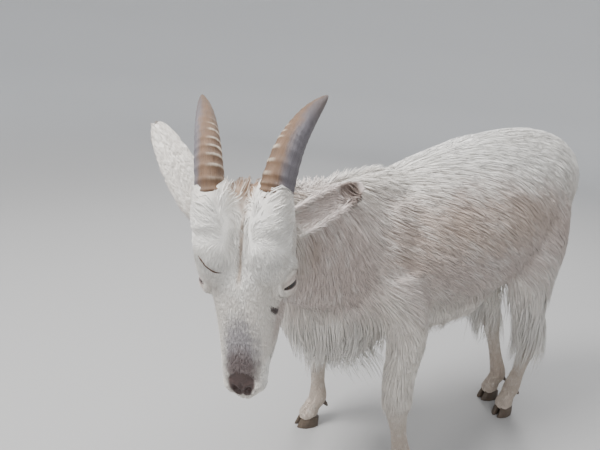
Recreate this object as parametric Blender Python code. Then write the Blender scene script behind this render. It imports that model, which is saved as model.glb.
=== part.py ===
"""A young billy goat at life size, standing with its head turned to its left.

The goat faces -Y, +X is its left and +Z is up, in metres. The flesh is lofted from named
stations, fused, thinned and then parted with thin cuts into head, neck, torso and legs.
The coat's long hair is made of tapered locks that are fused to the node they grow from.
"""

import math
import random

import bmesh
import bpy
import numpy as np
from mathutils import Euler, Matrix, Vector
from mathutils.bvhtree import BVHTree

GAP = 0.0003
HALF_GAP = GAP / 2
COAT_SOLVER = "MANIFOLD"
TOUCH_STEP = 0.00004
MOST_TOUCHES = 100
SEED = 7

KNEE_HEIGHT = 0.195
FETLOCK_HEIGHT = 0.066
CLAW_HEIGHT = 0.031

HEAD_AT = Vector((0.219, -0.494, 0.543))
HEAD_TURN = math.radians(48.0)
HEAD_NOD = math.radians(12.2)
HEAD_TILT = math.radians(6.0)
EYE_RADIUS = 0.0125
EYE_AT = Vector((0.0425, 0.0395, -0.0050))
EYE_LOOK = Vector((0.86, -0.44, -0.12)).normalized()
EYE_SLIT = Vector((0.30, 0.82, 0.48)).normalized()
LID_THICKNESS = 0.0024

LEFT, RIGHT = 1, -1
SIDE_NAMES = {LEFT: "left", RIGHT: "right"}

COLOURS = {
    "coat": ((0.78, 0.72, 0.68, 1), 0.85),
    "horn": ((0.46, 0.37, 0.30, 1), 0.55),
    "hoof": ((0.16, 0.13, 0.11, 1), 0.55),
    "eye": ((0.05, 0.03, 0.02, 1), 0.10),
}


# Helpers on meshes and objects


def material(name):
    """The Principled material of that name, made once."""
    made = bpy.data.materials.get(name)
    if made is None:
        made = bpy.data.materials.new(name)
        made.use_nodes = True
        shader = made.node_tree.nodes["Principled BSDF"]
        colour, roughness = COLOURS[name]
        shader.inputs["Base Color"].default_value = colour
        shader.inputs["Roughness"].default_value = roughness
    return made


def object_from(name, shape, finish="coat"):
    """A new object that holds a bmesh, which is freed."""
    bmesh.ops.recalc_face_normals(shape, faces=shape.faces)
    mesh = bpy.data.meshes.new(name)
    shape.to_mesh(mesh)
    shape.free()
    mesh.materials.append(material(finish))
    made = bpy.data.objects.new(name, mesh)
    bpy.context.scene.collection.objects.link(made)
    return made


def copy_of(source, name):
    made = bpy.data.objects.new(name, source.data.copy())
    bpy.context.scene.collection.objects.link(made)
    return made


def remove(*objects):
    for gone in objects:
        bpy.data.objects.remove(gone)


def settle(target):
    """Applies the object's modifiers to its mesh."""
    graph = bpy.context.evaluated_depsgraph_get()
    mesh = bpy.data.meshes.new_from_object(target.evaluated_get(graph))
    target.modifiers.clear()
    target.data = mesh


def combine(target, tools, operation, solver="EXACT"):
    """One Boolean of the target with all the tools, applied. The tools are then removed."""
    group = bpy.data.collections.new("tools")
    bpy.context.scene.collection.children.link(group)
    for tool in tools:
        bpy.context.scene.collection.objects.unlink(tool)
        group.objects.link(tool)
    step = target.modifiers.new("Join", "BOOLEAN")
    step.operand_type = "COLLECTION"
    step.collection = group
    step.operation = operation
    step.solver = solver
    settle(target)
    remove(*tools)
    bpy.data.collections.remove(group)


def keep_largest(target):
    """Drops every closed surface of the mesh but the one with the most faces."""
    shape = bmesh.new()
    shape.from_mesh(target.data)
    left = set(shape.faces)
    islands = []
    while left:
        front = [left.pop()]
        island = list(front)
        while front:
            beside = {other for edge in front.pop().edges for other in edge.link_faces} & left
            left -= beside
            island.extend(beside)
            front.extend(beside)
        islands.append(island)
    islands.remove(max(islands, key=len))
    for island in islands:
        bmesh.ops.delete(shape, geom=island, context="FACES")
    shape.to_mesh(target.data)
    shape.free()


def drop_flaps(shape):
    """Takes out pairs of faces that lie back to back on the same three corners."""
    seen = {}
    flaps = set()
    for face in shape.faces:
        other = seen.setdefault(frozenset(face.verts), face)
        if other is not face and other not in flaps and face.normal.dot(other.normal) < 0:
            flaps.update((face, other))
    bmesh.ops.delete(shape, geom=list(flaps), context="FACES")
    return len(flaps)


def wedge_at(edge):
    """Two faces that bound the material on one side of an edge, and the way into that material."""
    first, second = edge.verts
    axis = (second.co - first.co).normalized()
    level = axis.orthogonal().normalized()
    upright = axis.cross(level)
    found = []
    for loop in edge.link_loops:
        away = next(corner for corner in loop.face.verts if corner not in edge.verts).co - first.co
        turn = math.atan2(away.dot(upright), away.dot(level))
        found.append((turn, loop.vert is second, loop.face))
    found.sort(key=lambda row: row[0])
    for k, (turn, opens, face) in enumerate(found):
        turn_next, opens_next, face_next = found[(k + 1) % len(found)]
        if opens and not opens_next:
            middle = turn + ((turn_next - turn) % (2 * math.pi)) / 2
            inward = level * math.cos(middle) + upright * math.sin(middle)
            return face, face_next, inward
    return None


def part_touching(target):
    """Where the surface meets itself along an edge, draws one side of the meeting a little inwards."""
    shape = bmesh.new()
    shape.from_mesh(target.data)
    bmesh.ops.remove_doubles(shape, verts=shape.verts, dist=0.000002)
    bmesh.ops.triangulate(shape, faces=shape.faces)
    while drop_flaps(shape):
        pass
    for _ in range(MOST_TOUCHES):
        edge = next((edge for edge in shape.edges if len(edge.link_faces) > 2), None)
        wedge = wedge_at(edge) if edge else None
        if wedge is None:
            break
        first, second = edge.verts
        middle = shape.verts.new((first.co + second.co) / 2 + wedge[2] * TOUCH_STEP)
        corners = [
            (face, next(corner for corner in face.verts if corner not in edge.verts))
            for face in wedge[:2]
        ]
        for (start, end), (face, apex) in zip(((second, first), (first, second)), corners):
            shape.faces.remove(face)
            shape.faces.new((start, middle, apex))
            shape.faces.new((middle, end, apex))
    loose = [edge for edge in shape.edges if not edge.link_faces]
    bmesh.ops.delete(shape, geom=loose, context="EDGES")
    shape.to_mesh(target.data)
    shape.free()


def triangle_count(target):
    return sum(len(face.vertices) - 2 for face in target.data.polygons)


def thin_out(target, triangles):
    """Collapses edges until about that many triangles are left."""
    step = target.modifiers.new("Thin", "DECIMATE")
    step.ratio = min(1.0, triangles / triangle_count(target))
    settle(target)


def grown(source, distance):
    """A copy with each corner moved out along its normal, to cut a neighbour clear."""
    made = copy_of(source, source.name + "_grown")
    shape = bmesh.new()
    shape.from_mesh(made.data)
    shape.normal_update()
    for corner in shape.verts:
        corner.co += corner.normal * distance
    shape.to_mesh(made.data)
    shape.free()
    return made


def surface_of(target):
    """A search tree on the object's faces."""
    shape = bmesh.new()
    shape.from_mesh(target.data)
    bmesh.ops.triangulate(shape, faces=shape.faces)
    tree = BVHTree.FromBMesh(shape)
    shape.free()
    return tree


# Lofts, ellipsoids and cutters


def between(rows, per_span):
    """A smooth curve of rows through the given rows."""
    rows = np.array(rows, float)
    ends = np.vstack([2 * rows[0] - rows[1], rows, 2 * rows[-1] - rows[-2]])
    found = []
    for k in range(1, len(ends) - 2):
        before, start, stop, after = ends[k - 1 : k + 3]
        for i in range(per_span):
            t = i / per_span
            found.append(
                start
                + 0.5 * (stop - before) * t
                + (before - 2.5 * start + 2 * stop - 0.5 * after) * t**2
                + (1.5 * (start - stop) + 0.5 * (after - before)) * t**3
            )
    found.append(rows[-1])
    return np.array(found)


def add_rings(shape, rings):
    """Quads from ring to ring, with a flat cap at each end."""
    made = [[shape.verts.new(point) for point in ring] for ring in rings]
    sides = len(made[0])
    for lower, upper in zip(made, made[1:]):
        for i in range(sides):
            j = (i + 1) % sides
            shape.faces.new((lower[i], lower[j], upper[j], upper[i]))
    shape.faces.new(made[0][::-1])
    shape.faces.new(made[-1])


def loft_rings(rows, sides, up=(0, 0, 1), per_span=3):
    """Rings along rows of x, y, z, half width and half height."""
    rows = between(rows, per_span)
    centres = rows[:, :3]
    ways = np.gradient(centres, axis=0)
    ways /= np.linalg.norm(ways, axis=1)[:, None]
    angles = np.arange(sides) * 2 * math.pi / sides
    level, rise = np.cos(angles), np.sin(angles)
    rings = []
    for centre, way, row in zip(centres, ways, rows):
        across = np.cross(up, way)
        across /= np.linalg.norm(across)
        upward = np.cross(way, across)
        rings.append(
            centre
            + row[3] * level[:, None] * across
            + row[4] * rise[:, None] * upward
        )
    return rings


def add_loft(shape, rows, sides=20, place=None, **settings):
    rings = loft_rings(rows, sides, **settings)
    if place is not None:
        rings = [[place @ Vector(point) for point in ring] for ring in rings]
    add_rings(shape, rings)


def add_ball(shape, centre, radii, place=Matrix(), turn=(0, 0, 0), detail=3):
    """An ellipsoid. Turn is in degrees."""
    spin = Euler([math.radians(a) for a in turn]).to_matrix().to_4x4()
    where = place @ Matrix.Translation(centre) @ spin @ Matrix.Diagonal((*radii, 1))
    bmesh.ops.create_icosphere(shape, subdivisions=detail, radius=1, matrix=where)


def ball(name, centre, radii, place=Matrix(), turn=(0, 0, 0), detail=3):
    shape = bmesh.new()
    add_ball(shape, centre, radii, place, turn, detail)
    return object_from(name, shape)


def block(name, rings):
    """A closed block through rings of four corners."""
    shape = bmesh.new()
    add_rings(shape, rings)
    return object_from(name, shape)


def half_space(name, point, normal, reach=0.9):
    """A big block that fills the side of a plane its normal points to."""
    turn = Vector(normal).to_track_quat("Z", "Y").to_matrix().to_4x4()
    shape = bmesh.new()
    where = Matrix.Translation(point) @ turn @ Matrix.Translation((0, 0, reach / 2))
    bmesh.ops.create_cube(shape, size=reach, matrix=where)
    return object_from(name, shape)


# The frame of the head: x is the goat's left, y runs back from the face, z up to the poll


def head_place():
    turn = Matrix.Rotation(HEAD_TURN, 4, "Z")
    nod = Matrix.Rotation(-HEAD_NOD, 4, "X")
    tilt = Matrix.Rotation(-HEAD_TILT, 4, "Y")
    return Matrix.Translation(HEAD_AT) @ turn @ nod @ tilt


HEAD = head_place()
HEAD_BACK = HEAD.inverted()

# Stations of the flesh: x, y, z, half width, half height
TORSO = [
    (0.000, -0.268, 0.395, 0.030, 0.045),
    (0.000, -0.250, 0.405, 0.060, 0.085),
    (0.000, -0.205, 0.425, 0.082, 0.130),
    (0.000, -0.150, 0.443, 0.097, 0.156),
    (0.000, -0.075, 0.454, 0.110, 0.162),
    (0.000, 0.000, 0.472, 0.123, 0.170),
    (0.000, 0.080, 0.490, 0.132, 0.177),
    (0.000, 0.150, 0.512, 0.130, 0.175),
    (0.000, 0.215, 0.540, 0.119, 0.158),
    (0.000, 0.275, 0.558, 0.107, 0.138),
    (0.000, 0.330, 0.560, 0.089, 0.117),
    (0.000, 0.368, 0.553, 0.064, 0.088),
    (0.000, 0.390, 0.540, 0.034, 0.048),
]
NECK = [
    (0.000, -0.050, 0.475, 0.080, 0.122),
    (0.004, -0.140, 0.474, 0.084, 0.138),
    (0.026, -0.225, 0.486, 0.077, 0.122),
    (0.062, -0.300, 0.507, 0.066, 0.100),
    (0.104, -0.368, 0.531, 0.056, 0.082),
    (0.143, -0.421, 0.555, 0.050, 0.068),
    (0.171, -0.456, 0.568, 0.040, 0.050),
]
# Skull and jaw in the head's frame: x, y, z, half width, half depth
SKULL = [
    (0, 0.062, 0.101, 0.026, 0.020),
    (0, 0.058, 0.087, 0.041, 0.036),
    (0, 0.053, 0.062, 0.049, 0.045),
    (0, 0.050, 0.030, 0.051, 0.046),
    (0, 0.046, 0.000, 0.047, 0.043),
    (0, 0.0430, -0.030, 0.0370, 0.0350),
    (0, 0.0420, -0.060, 0.0310, 0.0280),
    (0, 0.0420, -0.090, 0.0272, 0.0230),
    (0, 0.0435, -0.112, 0.0262, 0.0190),
    (0, 0.0455, -0.124, 0.0232, 0.0160),
    (0, 0.0475, -0.133, 0.0180, 0.0125),
    (0, 0.0495, -0.140, 0.0115, 0.0080),
    (0, 0.0510, -0.1450, 0.0060, 0.0045),
]
JAW = [
    (0, 0.096, 0.045, 0.036, 0.022),
    (0, 0.092, 0.012, 0.043, 0.031),
    (0, 0.084, -0.028, 0.037, 0.028),
    (0, 0.076, -0.060, 0.0325, 0.0225),
    (0, 0.068, -0.090, 0.0265, 0.0170),
    (0, 0.0625, -0.114, 0.0205, 0.0130),
    (0, 0.0610, -0.128, 0.0155, 0.0095),
    (0, 0.0600, -0.138, 0.0090, 0.0055),
]
# Centre and radii of the muscles and ridges that stand out of the lofts, on the left side
HEAD_SWELLINGS = [
    ((0.0320, 0.0800, 0.0060), (0.0140, 0.0320, 0.0400)),
    ((0.0415, 0.0330, 0.0130), (0.0160, 0.0210, 0.0170)),
    ((0.0405, 0.0390, -0.0060), (0.0160, 0.0220, 0.0170)),
    ((0.0330, 0.0210, 0.0360), (0.0190, 0.0200, 0.0230)),
    ((0.0320, 0.0200, 0.0640), (0.0200, 0.0210, 0.0210)),
    ((0.0125, 0.0375, -0.1225), (0.0100, 0.0095, 0.0115)),
    ((0.0120, 0.0520, -0.1260), (0.0110, 0.0115, 0.0130)),
    ((0.0075, 0.0625, -0.1300), (0.0095, 0.0095, 0.0105)),
]
TRUNK_SWELLINGS = [
    ((0.058, -0.140, 0.450), (0.034, 0.080, 0.118)),
    ((0.040, -0.215, 0.395), (0.034, 0.046, 0.070)),
    ((0.060, 0.240, 0.592), (0.034, 0.062, 0.052)),
]
BRISKET = [
    (0.012, -0.292, 0.422, 0.030, 0.040),
    (0.006, -0.262, 0.378, 0.044, 0.052),
    (0.000, -0.222, 0.347, 0.052, 0.058),
    (0.000, -0.165, 0.333, 0.054, 0.052),
    (0.000, -0.105, 0.330, 0.053, 0.046),
    (0.000, -0.050, 0.333, 0.050, 0.036),
]
BELLY = [
    (0.000, -0.060, 0.335, 0.060, 0.036),
    (0.000, 0.020, 0.332, 0.070, 0.038),
    (0.000, 0.100, 0.342, 0.072, 0.036),
    (0.000, 0.160, 0.362, 0.060, 0.034),
]
# Leg stations down to the top of the cannon: x, y, z, half width, half depth fore and aft
FORELEG = {
    LEFT: [
        (0.070, -0.130, 0.440, 0.036, 0.058),
        (0.087, -0.104, 0.360, 0.032, 0.049),
        (0.097, -0.098, 0.310, 0.029, 0.038),
        (0.102, -0.106, 0.260, 0.0270, 0.0310),
        (0.105, -0.107, 0.222, 0.0235, 0.0260),
        (0.107, -0.104, KNEE_HEIGHT, 0.0225, 0.0245),
        (0.109, -0.101, 0.168, 0.0175, 0.0190),
    ],
    RIGHT: [
        (-0.070, -0.140, 0.440, 0.036, 0.058),
        (-0.088, -0.118, 0.360, 0.032, 0.048),
        (-0.096, -0.118, 0.310, 0.029, 0.037),
        (-0.101, -0.130, 0.260, 0.0265, 0.0300),
        (-0.103, -0.137, 0.222, 0.0230, 0.0250),
        (-0.104, -0.139, KNEE_HEIGHT, 0.0225, 0.0245),
        (-0.106, -0.138, 0.168, 0.0175, 0.0190),
    ],
}
HIND_LEG = {
    LEFT: [
        (0.058, 0.265, 0.560, 0.046, 0.068),
        (0.070, 0.258, 0.480, 0.048, 0.084),
        (0.082, 0.246, 0.410, 0.043, 0.078),
        (0.087, 0.256, 0.350, 0.035, 0.058),
        (0.085, 0.276, 0.300, 0.0275, 0.0430),
        (0.082, 0.298, 0.258, 0.0215, 0.0330),
        (0.078, 0.318, 0.226, 0.0190, 0.0280),
        (0.073, 0.326, 0.190, 0.0165, 0.0210),
    ],
    RIGHT: [
        (-0.058, 0.265, 0.560, 0.046, 0.068),
        (-0.070, 0.262, 0.480, 0.048, 0.084),
        (-0.078, 0.256, 0.410, 0.043, 0.078),
        (-0.075, 0.270, 0.350, 0.035, 0.058),
        (-0.067, 0.292, 0.300, 0.0275, 0.0430),
        (-0.060, 0.314, 0.258, 0.0215, 0.0330),
        (-0.052, 0.334, 0.226, 0.0190, 0.0280),
        (-0.044, 0.342, 0.190, 0.0165, 0.0210),
    ],
}
# Where each foot stands, and how far it toes out in degrees
FEET = {
    ("front", LEFT): ((0.116, -0.094), 8),
    ("front", RIGHT): ((-0.108, -0.146), 6),
    ("hind", LEFT): ((0.054, 0.318), 8),
    ("hind", RIGHT): ((-0.006, 0.338), 4),
}
# Half width and half depth of the lower leg at the cannon, fetlock, pastern and coronet
LOWER_LEG = {
    "front": ((0.0135, 0.0150), (0.0175, 0.0195), (0.0155, 0.0165), (0.0185, 0.0215)),
    "hind": ((0.0130, 0.0155), (0.0170, 0.0195), (0.0150, 0.0165), (0.0180, 0.0210)),
}
SHIN_TOP = {"front": 0.180, "hind": 0.205}
FETLOCK_SET_BACK = 0.020
PASTERN_SET_BACK = 0.010
CORONET_SLOPE = 0.24

TAIL = [
    (0.000, 0.345, 0.592, 0.020, 0.016),
    (0.000, 0.378, 0.598, 0.017, 0.014),
    (0.002, 0.400, 0.582, 0.015, 0.012),
    (0.004, 0.410, 0.552, 0.013, 0.010),
    (0.005, 0.412, 0.522, 0.008, 0.006),
]

HORN = {
    LEFT: [
        (0.0310, 0.0165, 0.055),
        (0.0350, 0.0150, 0.085),
        (0.0400, 0.0195, 0.115),
        (0.0480, 0.0340, 0.148),
        (0.0610, 0.0600, 0.180),
        (0.0765, 0.0890, 0.2065),
    ],
    RIGHT: [
        (-0.0310, 0.0165, 0.055),
        (-0.0350, 0.0150, 0.085),
        (-0.0400, 0.0195, 0.115),
        (-0.0480, 0.0340, 0.148),
        (-0.0610, 0.0600, 0.180),
        (-0.0765, 0.0890, 0.2065),
    ],
}
HORN_HALF_WIDTH = 0.0165
HORN_HALF_DEPTH = 0.0225
HORN_SIDES = 10
HORN_RIDGE_HEIGHT = 0.0011

# Each ear's middle line in the head's frame, and the way its cup opens
EAR = {
    LEFT: ([(0.043, 0.066, 0.054), (0.066, 0.089, 0.070), (0.0925, 0.131, 0.0885), (0.1174, 0.180, 0.1048)],
           (0.69, -0.59, 0.41)),
    RIGHT: ([(-0.044, 0.062, 0.058), (-0.071, 0.064, 0.087), (-0.102, 0.073, 0.129), (-0.135, 0.0905, 0.172)],
            (-0.45, 0.86, -0.24)),
}
EAR_HALF_WIDTH = 0.0300
EAR_THICKNESS = 0.0030

# Length, width, thickness, lift off the skin and hold to it, for each kind of lock
LOCKS = {
    "torso": (0.155, 0.098, 0.010, 0.011, 0.93),
    "neck": (0.115, 0.070, 0.008, 0.008, 0.93),
    "crest": (0.060, 0.026, 0.007, 0.022, 0.90),
    "thigh": (0.110, 0.066, 0.009, 0.010, 0.85),
    "breeches": (0.100, 0.044, 0.012, 0.010, 0.25),
    "forearm": (0.062, 0.030, 0.008, 0.006, 0.50),
    "apron": (0.100, 0.044, 0.012, 0.000, 0.15),
    "fringe": (0.092, 0.062, 0.010, 0.004, 0.35),
    "tail": (0.050, 0.020, 0.006, 0.004, 0.40),
}
# Rows of the neck's crest and of the back of the forearm, as shares of their forms' lengths
CREST_SHARES = (0.34, 0.50, 0.66, 0.80)
FOREARM_SHARES = (0.34, 0.55)
FOREARM_TURN = -80
TORSO_LOCK_ROWS = 6
FORELOCK_THICKNESS = 0.0042
CHEEK_THICKNESS = 0.005
HEAD_LOCK_LIFT = 0.003
CHIN_LOCK = (0.010, 0.006)
# Long hair on the thigh and gaskin: share down the leg, turn from the outside to the front, length
BREECHES = [
    (0.46, -100, 0.114),
    (0.54, -35, 0.106),
    (0.62, -85, 0.085),
    (0.52, 75, 0.095),
]
# Long hair under the breast and belly: y, x, length
APRON = [
    (-0.255, 0.012, 0.100),
    (-0.235, -0.034, 0.100),
    (-0.225, 0.044, 0.105),
    (-0.190, 0.004, 0.102),
    (-0.170, -0.046, 0.098),
    (-0.160, 0.050, 0.100),
    (-0.125, -0.010, 0.080),
]
# Where the fringe of the belly grows: y, x
FRINGE = [
    (-0.030, 0.085),
    (0.030, 0.092),
    (0.090, 0.095),
    (0.145, 0.092),
    (-0.030, -0.085),
    (0.030, -0.092),
    (0.090, -0.095),
    (0.145, -0.092),
]
# Locks of the head, by root and way in the head's frame, with length and width
FORELOCK = [
    ((0.007, 0.094), (0.22, -1.0), 0.062, 0.020),
    ((0.018, 0.068), (0.60, -1.0), 0.056, 0.020),
    ((0.008, 0.056), (0.35, -1.0), 0.048, 0.017),
]
CHEEK = [
    ((0.082, 0.030), (0.85, -0.6), 0.048, 0.028),
    ((0.084, -0.006), (0.80, -0.8), 0.042, 0.024),
]
# Hair of the chin: x of its root, length
CHIN = [(-0.007, 0.016), (0.0, 0.020), (0.007, 0.016)]
# Middle lines of the nostril and of the lips in the head's frame, on the left side
NOSTRIL = [
    (0.0050, 0.0360, -0.1325),
    (0.0085, 0.0345, -0.1275),
    (0.0130, 0.0355, -0.1225),
    (0.0165, 0.0400, -0.1175),
]
NOSTRIL_RADII = [0.0010, 0.0026, 0.0024, 0.0008]
MOUTH = [
    (0.000, 0.0545, -0.1405),
    (0.0085, 0.0555, -0.1370),
    (0.0150, 0.0580, -0.1280),
    (0.0195, 0.0605, -0.1140),
    (0.0235, 0.0645, -0.0980),
    (0.0265, 0.0690, -0.0840),
]
HEAD_TRIANGLES = 1800
BODY_TRIANGLES = 2000


def lower_leg(kind, side):
    """Stations from the knee or hock down into the foot."""
    upper = {"front": FORELEG, "hind": HIND_LEG}[kind][side]
    top = Vector(upper[-1][:3])
    x, y = FEET[kind, side][0]
    ahead = foot_ahead(kind, side)
    coronet = Vector((x, y, CLAW_HEIGHT - 0.003)) - ahead * 0.002
    fetlock = Vector((x, y, FETLOCK_HEIGHT)) - ahead * FETLOCK_SET_BACK
    pastern = Vector((x, y, (FETLOCK_HEIGHT + CLAW_HEIGHT) / 2)) - ahead * PASTERN_SET_BACK
    cannon, joint, ankle, foot = LOWER_LEG[kind]
    rows = list(upper[-3:])
    for share in (0.30, 0.65):
        rows.append((*top.lerp(fetlock, share), *cannon))
    for place, size in ((fetlock, joint), (pastern, ankle), (coronet, foot)):
        rows.append((*place, *size))
    rows.append((*(coronet - Vector((0, 0, 0.012))), *foot))
    return rows


def upper_leg(kind, side, coat):
    """Stations from the trunk to below the cut at the knee or hock, less the coat where it is long."""
    rows = {"front": FORELEG, "hind": HIND_LEG}[kind][side]
    return thinner(rows[:-3], coat) + rows[-3:] + lower_leg(kind, side)[3:4]


def foot_ahead(kind, side):
    """The level way a foot points."""
    toe = math.radians(FEET[kind, side][1])
    return Vector((side * math.sin(toe), -math.cos(toe), 0))


def thinner(rows, depth):
    """The stations with the coat's depth taken off their half sizes."""
    return [(x, y, z, wide - depth, high - depth) for x, y, z, wide, high in rows]


TORSO_COAT = 0.011
NECK_COAT = 0.008
THIGH_COAT = 0.007
FOREARM_COAT = 0.003


def add_head_flesh(shape):
    """Skull, jaw and muscles."""
    add_loft(shape, SKULL, sides=24, place=HEAD, up=(0, -1, 0))
    add_loft(shape, JAW, sides=24, place=HEAD, up=(0, -1, 0))
    for side in (LEFT, RIGHT):
        for (x, y, z), radii in HEAD_SWELLINGS:
            add_ball(shape, (side * x, y, z), radii, HEAD)


def add_head_and_nape(shape):
    add_loft(shape, thinner(NECK[2:], NECK_COAT), sides=28)
    add_head_flesh(shape)


def add_body(shape):
    """Torso, neck, tail, upper legs and the head's large forms, overlapping and each closed."""
    add_loft(shape, thinner(TORSO, TORSO_COAT), sides=32)
    add_loft(shape, thinner(NECK, NECK_COAT), sides=28)
    add_loft(shape, BRISKET, sides=20)
    add_loft(shape, BELLY, sides=20)
    add_loft(shape, TAIL, sides=12, up=(1, 0, 0))
    add_head_flesh(shape)
    for side in (LEFT, RIGHT):
        for (x, y, z), radii in TRUNK_SWELLINGS:
            add_ball(shape, (side * x, y, z), radii)
        add_loft(shape, upper_leg("front", side, FOREARM_COAT), sides=20, up=(0, -1, 0))
        add_loft(shape, upper_leg("hind", side, THIGH_COAT), sides=24, up=(0, -1, 0))


def fused(name, add_forms, voxel, passes, softness):
    """One closed surface round the forms. Softness gives a point's share of the passes."""
    shape = bmesh.new()
    add_forms(shape)
    made = object_from(name, shape)
    step = made.modifiers.new("Fuse", "REMESH")
    step.mode = "VOXEL"
    step.voxel_size = voxel
    settle(made)
    shape = bmesh.new()
    shape.from_mesh(made.data)
    shares = [(corner, softness(corner.co)) for corner in shape.verts]
    for i in range(passes):
        soft = [corner for corner, share in shares if share * passes > i]
        bmesh.ops.smooth_vert(
            shape, verts=soft, factor=0.5, use_axis_x=True, use_axis_y=True, use_axis_z=True
        )
    shape.to_mesh(made.data)
    shape.free()
    return made


def body_softness(point):
    """Full above the elbow, and light down the legs."""
    return min(1.0, max(0.15, (point.z - 0.24) / 0.12))


def head_softness(point):
    """Light on the face, and full on the nape."""
    back = (HEAD_BACK @ point).y
    return min(1.0, max(0.25, (back - 0.07) / 0.05))


# Cuts between head, neck and torso: a point on the plane, and the way to the head's end

NAPE_POINT = HEAD @ Vector((0, 0.104, 0.045))
NAPE_WAY = -(HEAD.to_3x3() @ Vector((0.14, 0.95, 0.28))).normalized()
SHOULDER_POINT = Vector((0.02, -0.215, 0.50))
SHOULDER_WAY = Vector((0.20, -0.90, 0.35)).normalized()
TAIL_BLOCK = [
    [(-0.030, 0.397, 0.440), (0.032, 0.397, 0.440), (0.032, 0.47, 0.440), (-0.030, 0.47, 0.440)],
    [(-0.026, 0.366, 0.640), (0.028, 0.366, 0.640), (0.028, 0.47, 0.640), (-0.026, 0.47, 0.640)],
]


def kept_beyond(target, point, way, offset=HALF_GAP, solver=COAT_SOLVER):
    """Cuts away what lies behind a plane, keeping the side its way points to."""
    plane = half_space(target.name + "_plane", point + way * offset, -way)
    combine(target, [plane], "DIFFERENCE", solver)


def body_blocks():
    """Closed blocks that hold the tail and each upper leg, by node name."""
    blocks = {"tail": block("tail_block", TAIL_BLOCK)}
    for side in (LEFT, RIGHT):
        name = SIDE_NAMES[side]
        low, high = SHIN_TOP["front"], 0.330
        inner_low, inner_high, outer = side * 0.058, side * 0.064, side * 0.22
        front, back = -0.190, -0.050
        rings = [
            [(inner, front, z), (inner, back, z), (outer, back, z), (outer, front, z)]
            for inner, z in ((inner_low, low), (inner_high, high))
        ]
        blocks["forearm_" + name] = block("forearm_block_" + name, rings)
        levels = (
            (SHIN_TOP["hind"], side * 0.006, 0.17),
            (0.385, side * 0.020, 0.165),
            (0.590, side * 0.108, 0.215),
        )
        rings = [
            [(inner, front, z), (inner, 0.46, z), (outer, 0.46, z), (outer, front, z)]
            for z, inner, front in levels
        ]
        blocks["thigh_" + name] = block("thigh_block_" + name, rings)
    return blocks


# Locks: each is flat, has four sides, bends over the body along the lie and tapers to its tip

ROOT_SINK = 0.009
LOCK_STEPS = 3
LOCK_SHAPE = (0.55, 1.0, 0.86, 0.5)


def lock_path(tree, root, lie, length, lift, cling):
    """Points of a lock's middle line with the way each faces, from under the skin to the tip."""
    place, face = root
    stride = length / LOCK_STEPS
    way = lie(place, face)
    found = [(place - face * ROOT_SINK - way * ROOT_SINK * 0.5, face)]
    point = place
    for k in range(1, LOCK_STEPS + 1):
        share = k / LOCK_STEPS
        point = point + lie(point, face) * stride
        near, normal, _, _ = tree.find_nearest(point)
        hold = cling * (1 - 0.5 * share)
        height = lift * math.sin(math.pi * (0.12 + 0.62 * share))
        point = point.lerp(near + normal * height, hold)
        face = face.lerp(normal, hold).normalized()
        found.append((point, face))
    return found


def add_lock(shape, path, width, thick):
    """Rings of four corners along the path, closed at the root and drawn to a point at the tip."""
    last = len(path) - 1
    rings = []
    for k, (point, face) in enumerate(path[:-1]):
        way = (path[k + 1][0] - path[max(k - 1, 0)][0]).normalized()
        side = way.cross(face).normalized()
        face = side.cross(way)
        share = k / last
        half = 0.5 * width * LOCK_SHAPE[k]
        deep = 0.5 * thick * (1 - 0.45 * share)
        corners = (side * half, face * deep, -side * half, -face * deep)
        rings.append([shape.verts.new(point + corner) for corner in corners])
    tip = shape.verts.new(path[-1][0])
    shape.faces.new(rings[0][::-1])
    for lower, upper in zip(rings, rings[1:]):
        for i in range(4):
            j = (i + 1) % 4
            shape.faces.new((lower[i], lower[j], upper[j], upper[i]))
    for i in range(4):
        shape.faces.new((rings[-1][i], rings[-1][(i + 1) % 4], tip))


def lock(path, width, thick):
    shape = bmesh.new()
    add_lock(shape, path, width, thick)
    return object_from("lock", shape)


def along_surface(way, face):
    """The way, laid in the plane that faces that way."""
    flat = way - face * way.dot(face)
    return flat.normalized() if flat.length > 0.05 else way.normalized()


def body_lie(point, face):
    """The way the hair runs: back and down on the trunk, down on the legs and the breast."""
    x, y, z = point
    back = min(1.0, max(0.0, (y + 0.30) / 0.16)) * min(1.0, max(0.0, (z - 0.30) / 0.12))
    rump = min(1.0, max(0.0, (y - 0.24) / 0.10))
    way = Vector((0.05 * face.x, 0.95 * back * (1 - 0.8 * rump) + 0.08, -0.55 - 0.35 * (1 - back) - rump))
    if y < -0.20:
        way += Vector((-0.25, 0.25, -0.1)) * min(1.0, (-0.20 - y) / 0.10)
    return along_surface(way, face)


def falling(way, stiffness):
    """A lie that starts along the body's and turns down as the lock leaves it."""
    down = Vector((0, 0, -1))

    def lie(point, face):
        return (along_surface(way, face) * stiffness + down * (1 - stiffness)).normalized()

    return lie


def cast(tree, centre, outward, reach=0.20):
    """The surface point and its normal, seen from outside towards a centre."""
    place, normal, _, _ = tree.ray_cast(centre + outward * reach, -outward, reach)
    return (place, normal) if place else None


def rows_of_roots(tree, rows, shares, count, up, turns, draw, reach=0.20):
    """Roots in a brick pattern round a lofted form. Turns is the first and the last angle in degrees."""
    path = between(rows, 8)
    for r, share in enumerate(shares):
        centre = path[int(share * (len(path) - 1))][:3]
        ahead = path[min(len(path) - 1, int(share * (len(path) - 1)) + 1)][:3]
        before = path[max(0, int(share * (len(path) - 1)) - 1)][:3]
        way = Vector(ahead - before).normalized()
        across = Vector(up).cross(way).normalized()
        upward = way.cross(across)
        first, last = (math.radians(turn) for turn in turns)
        for i in range(count):
            turn = first + (last - first) * (i + 0.5 * (r % 2) + draw.uniform(-0.15, 0.15)) / count
            outward = across * math.cos(turn) + upward * math.sin(turn)
            along = way * draw.uniform(-0.010, 0.010)
            root = cast(tree, Vector(centre) + along, outward, reach)
            if root:
                yield root


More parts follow.
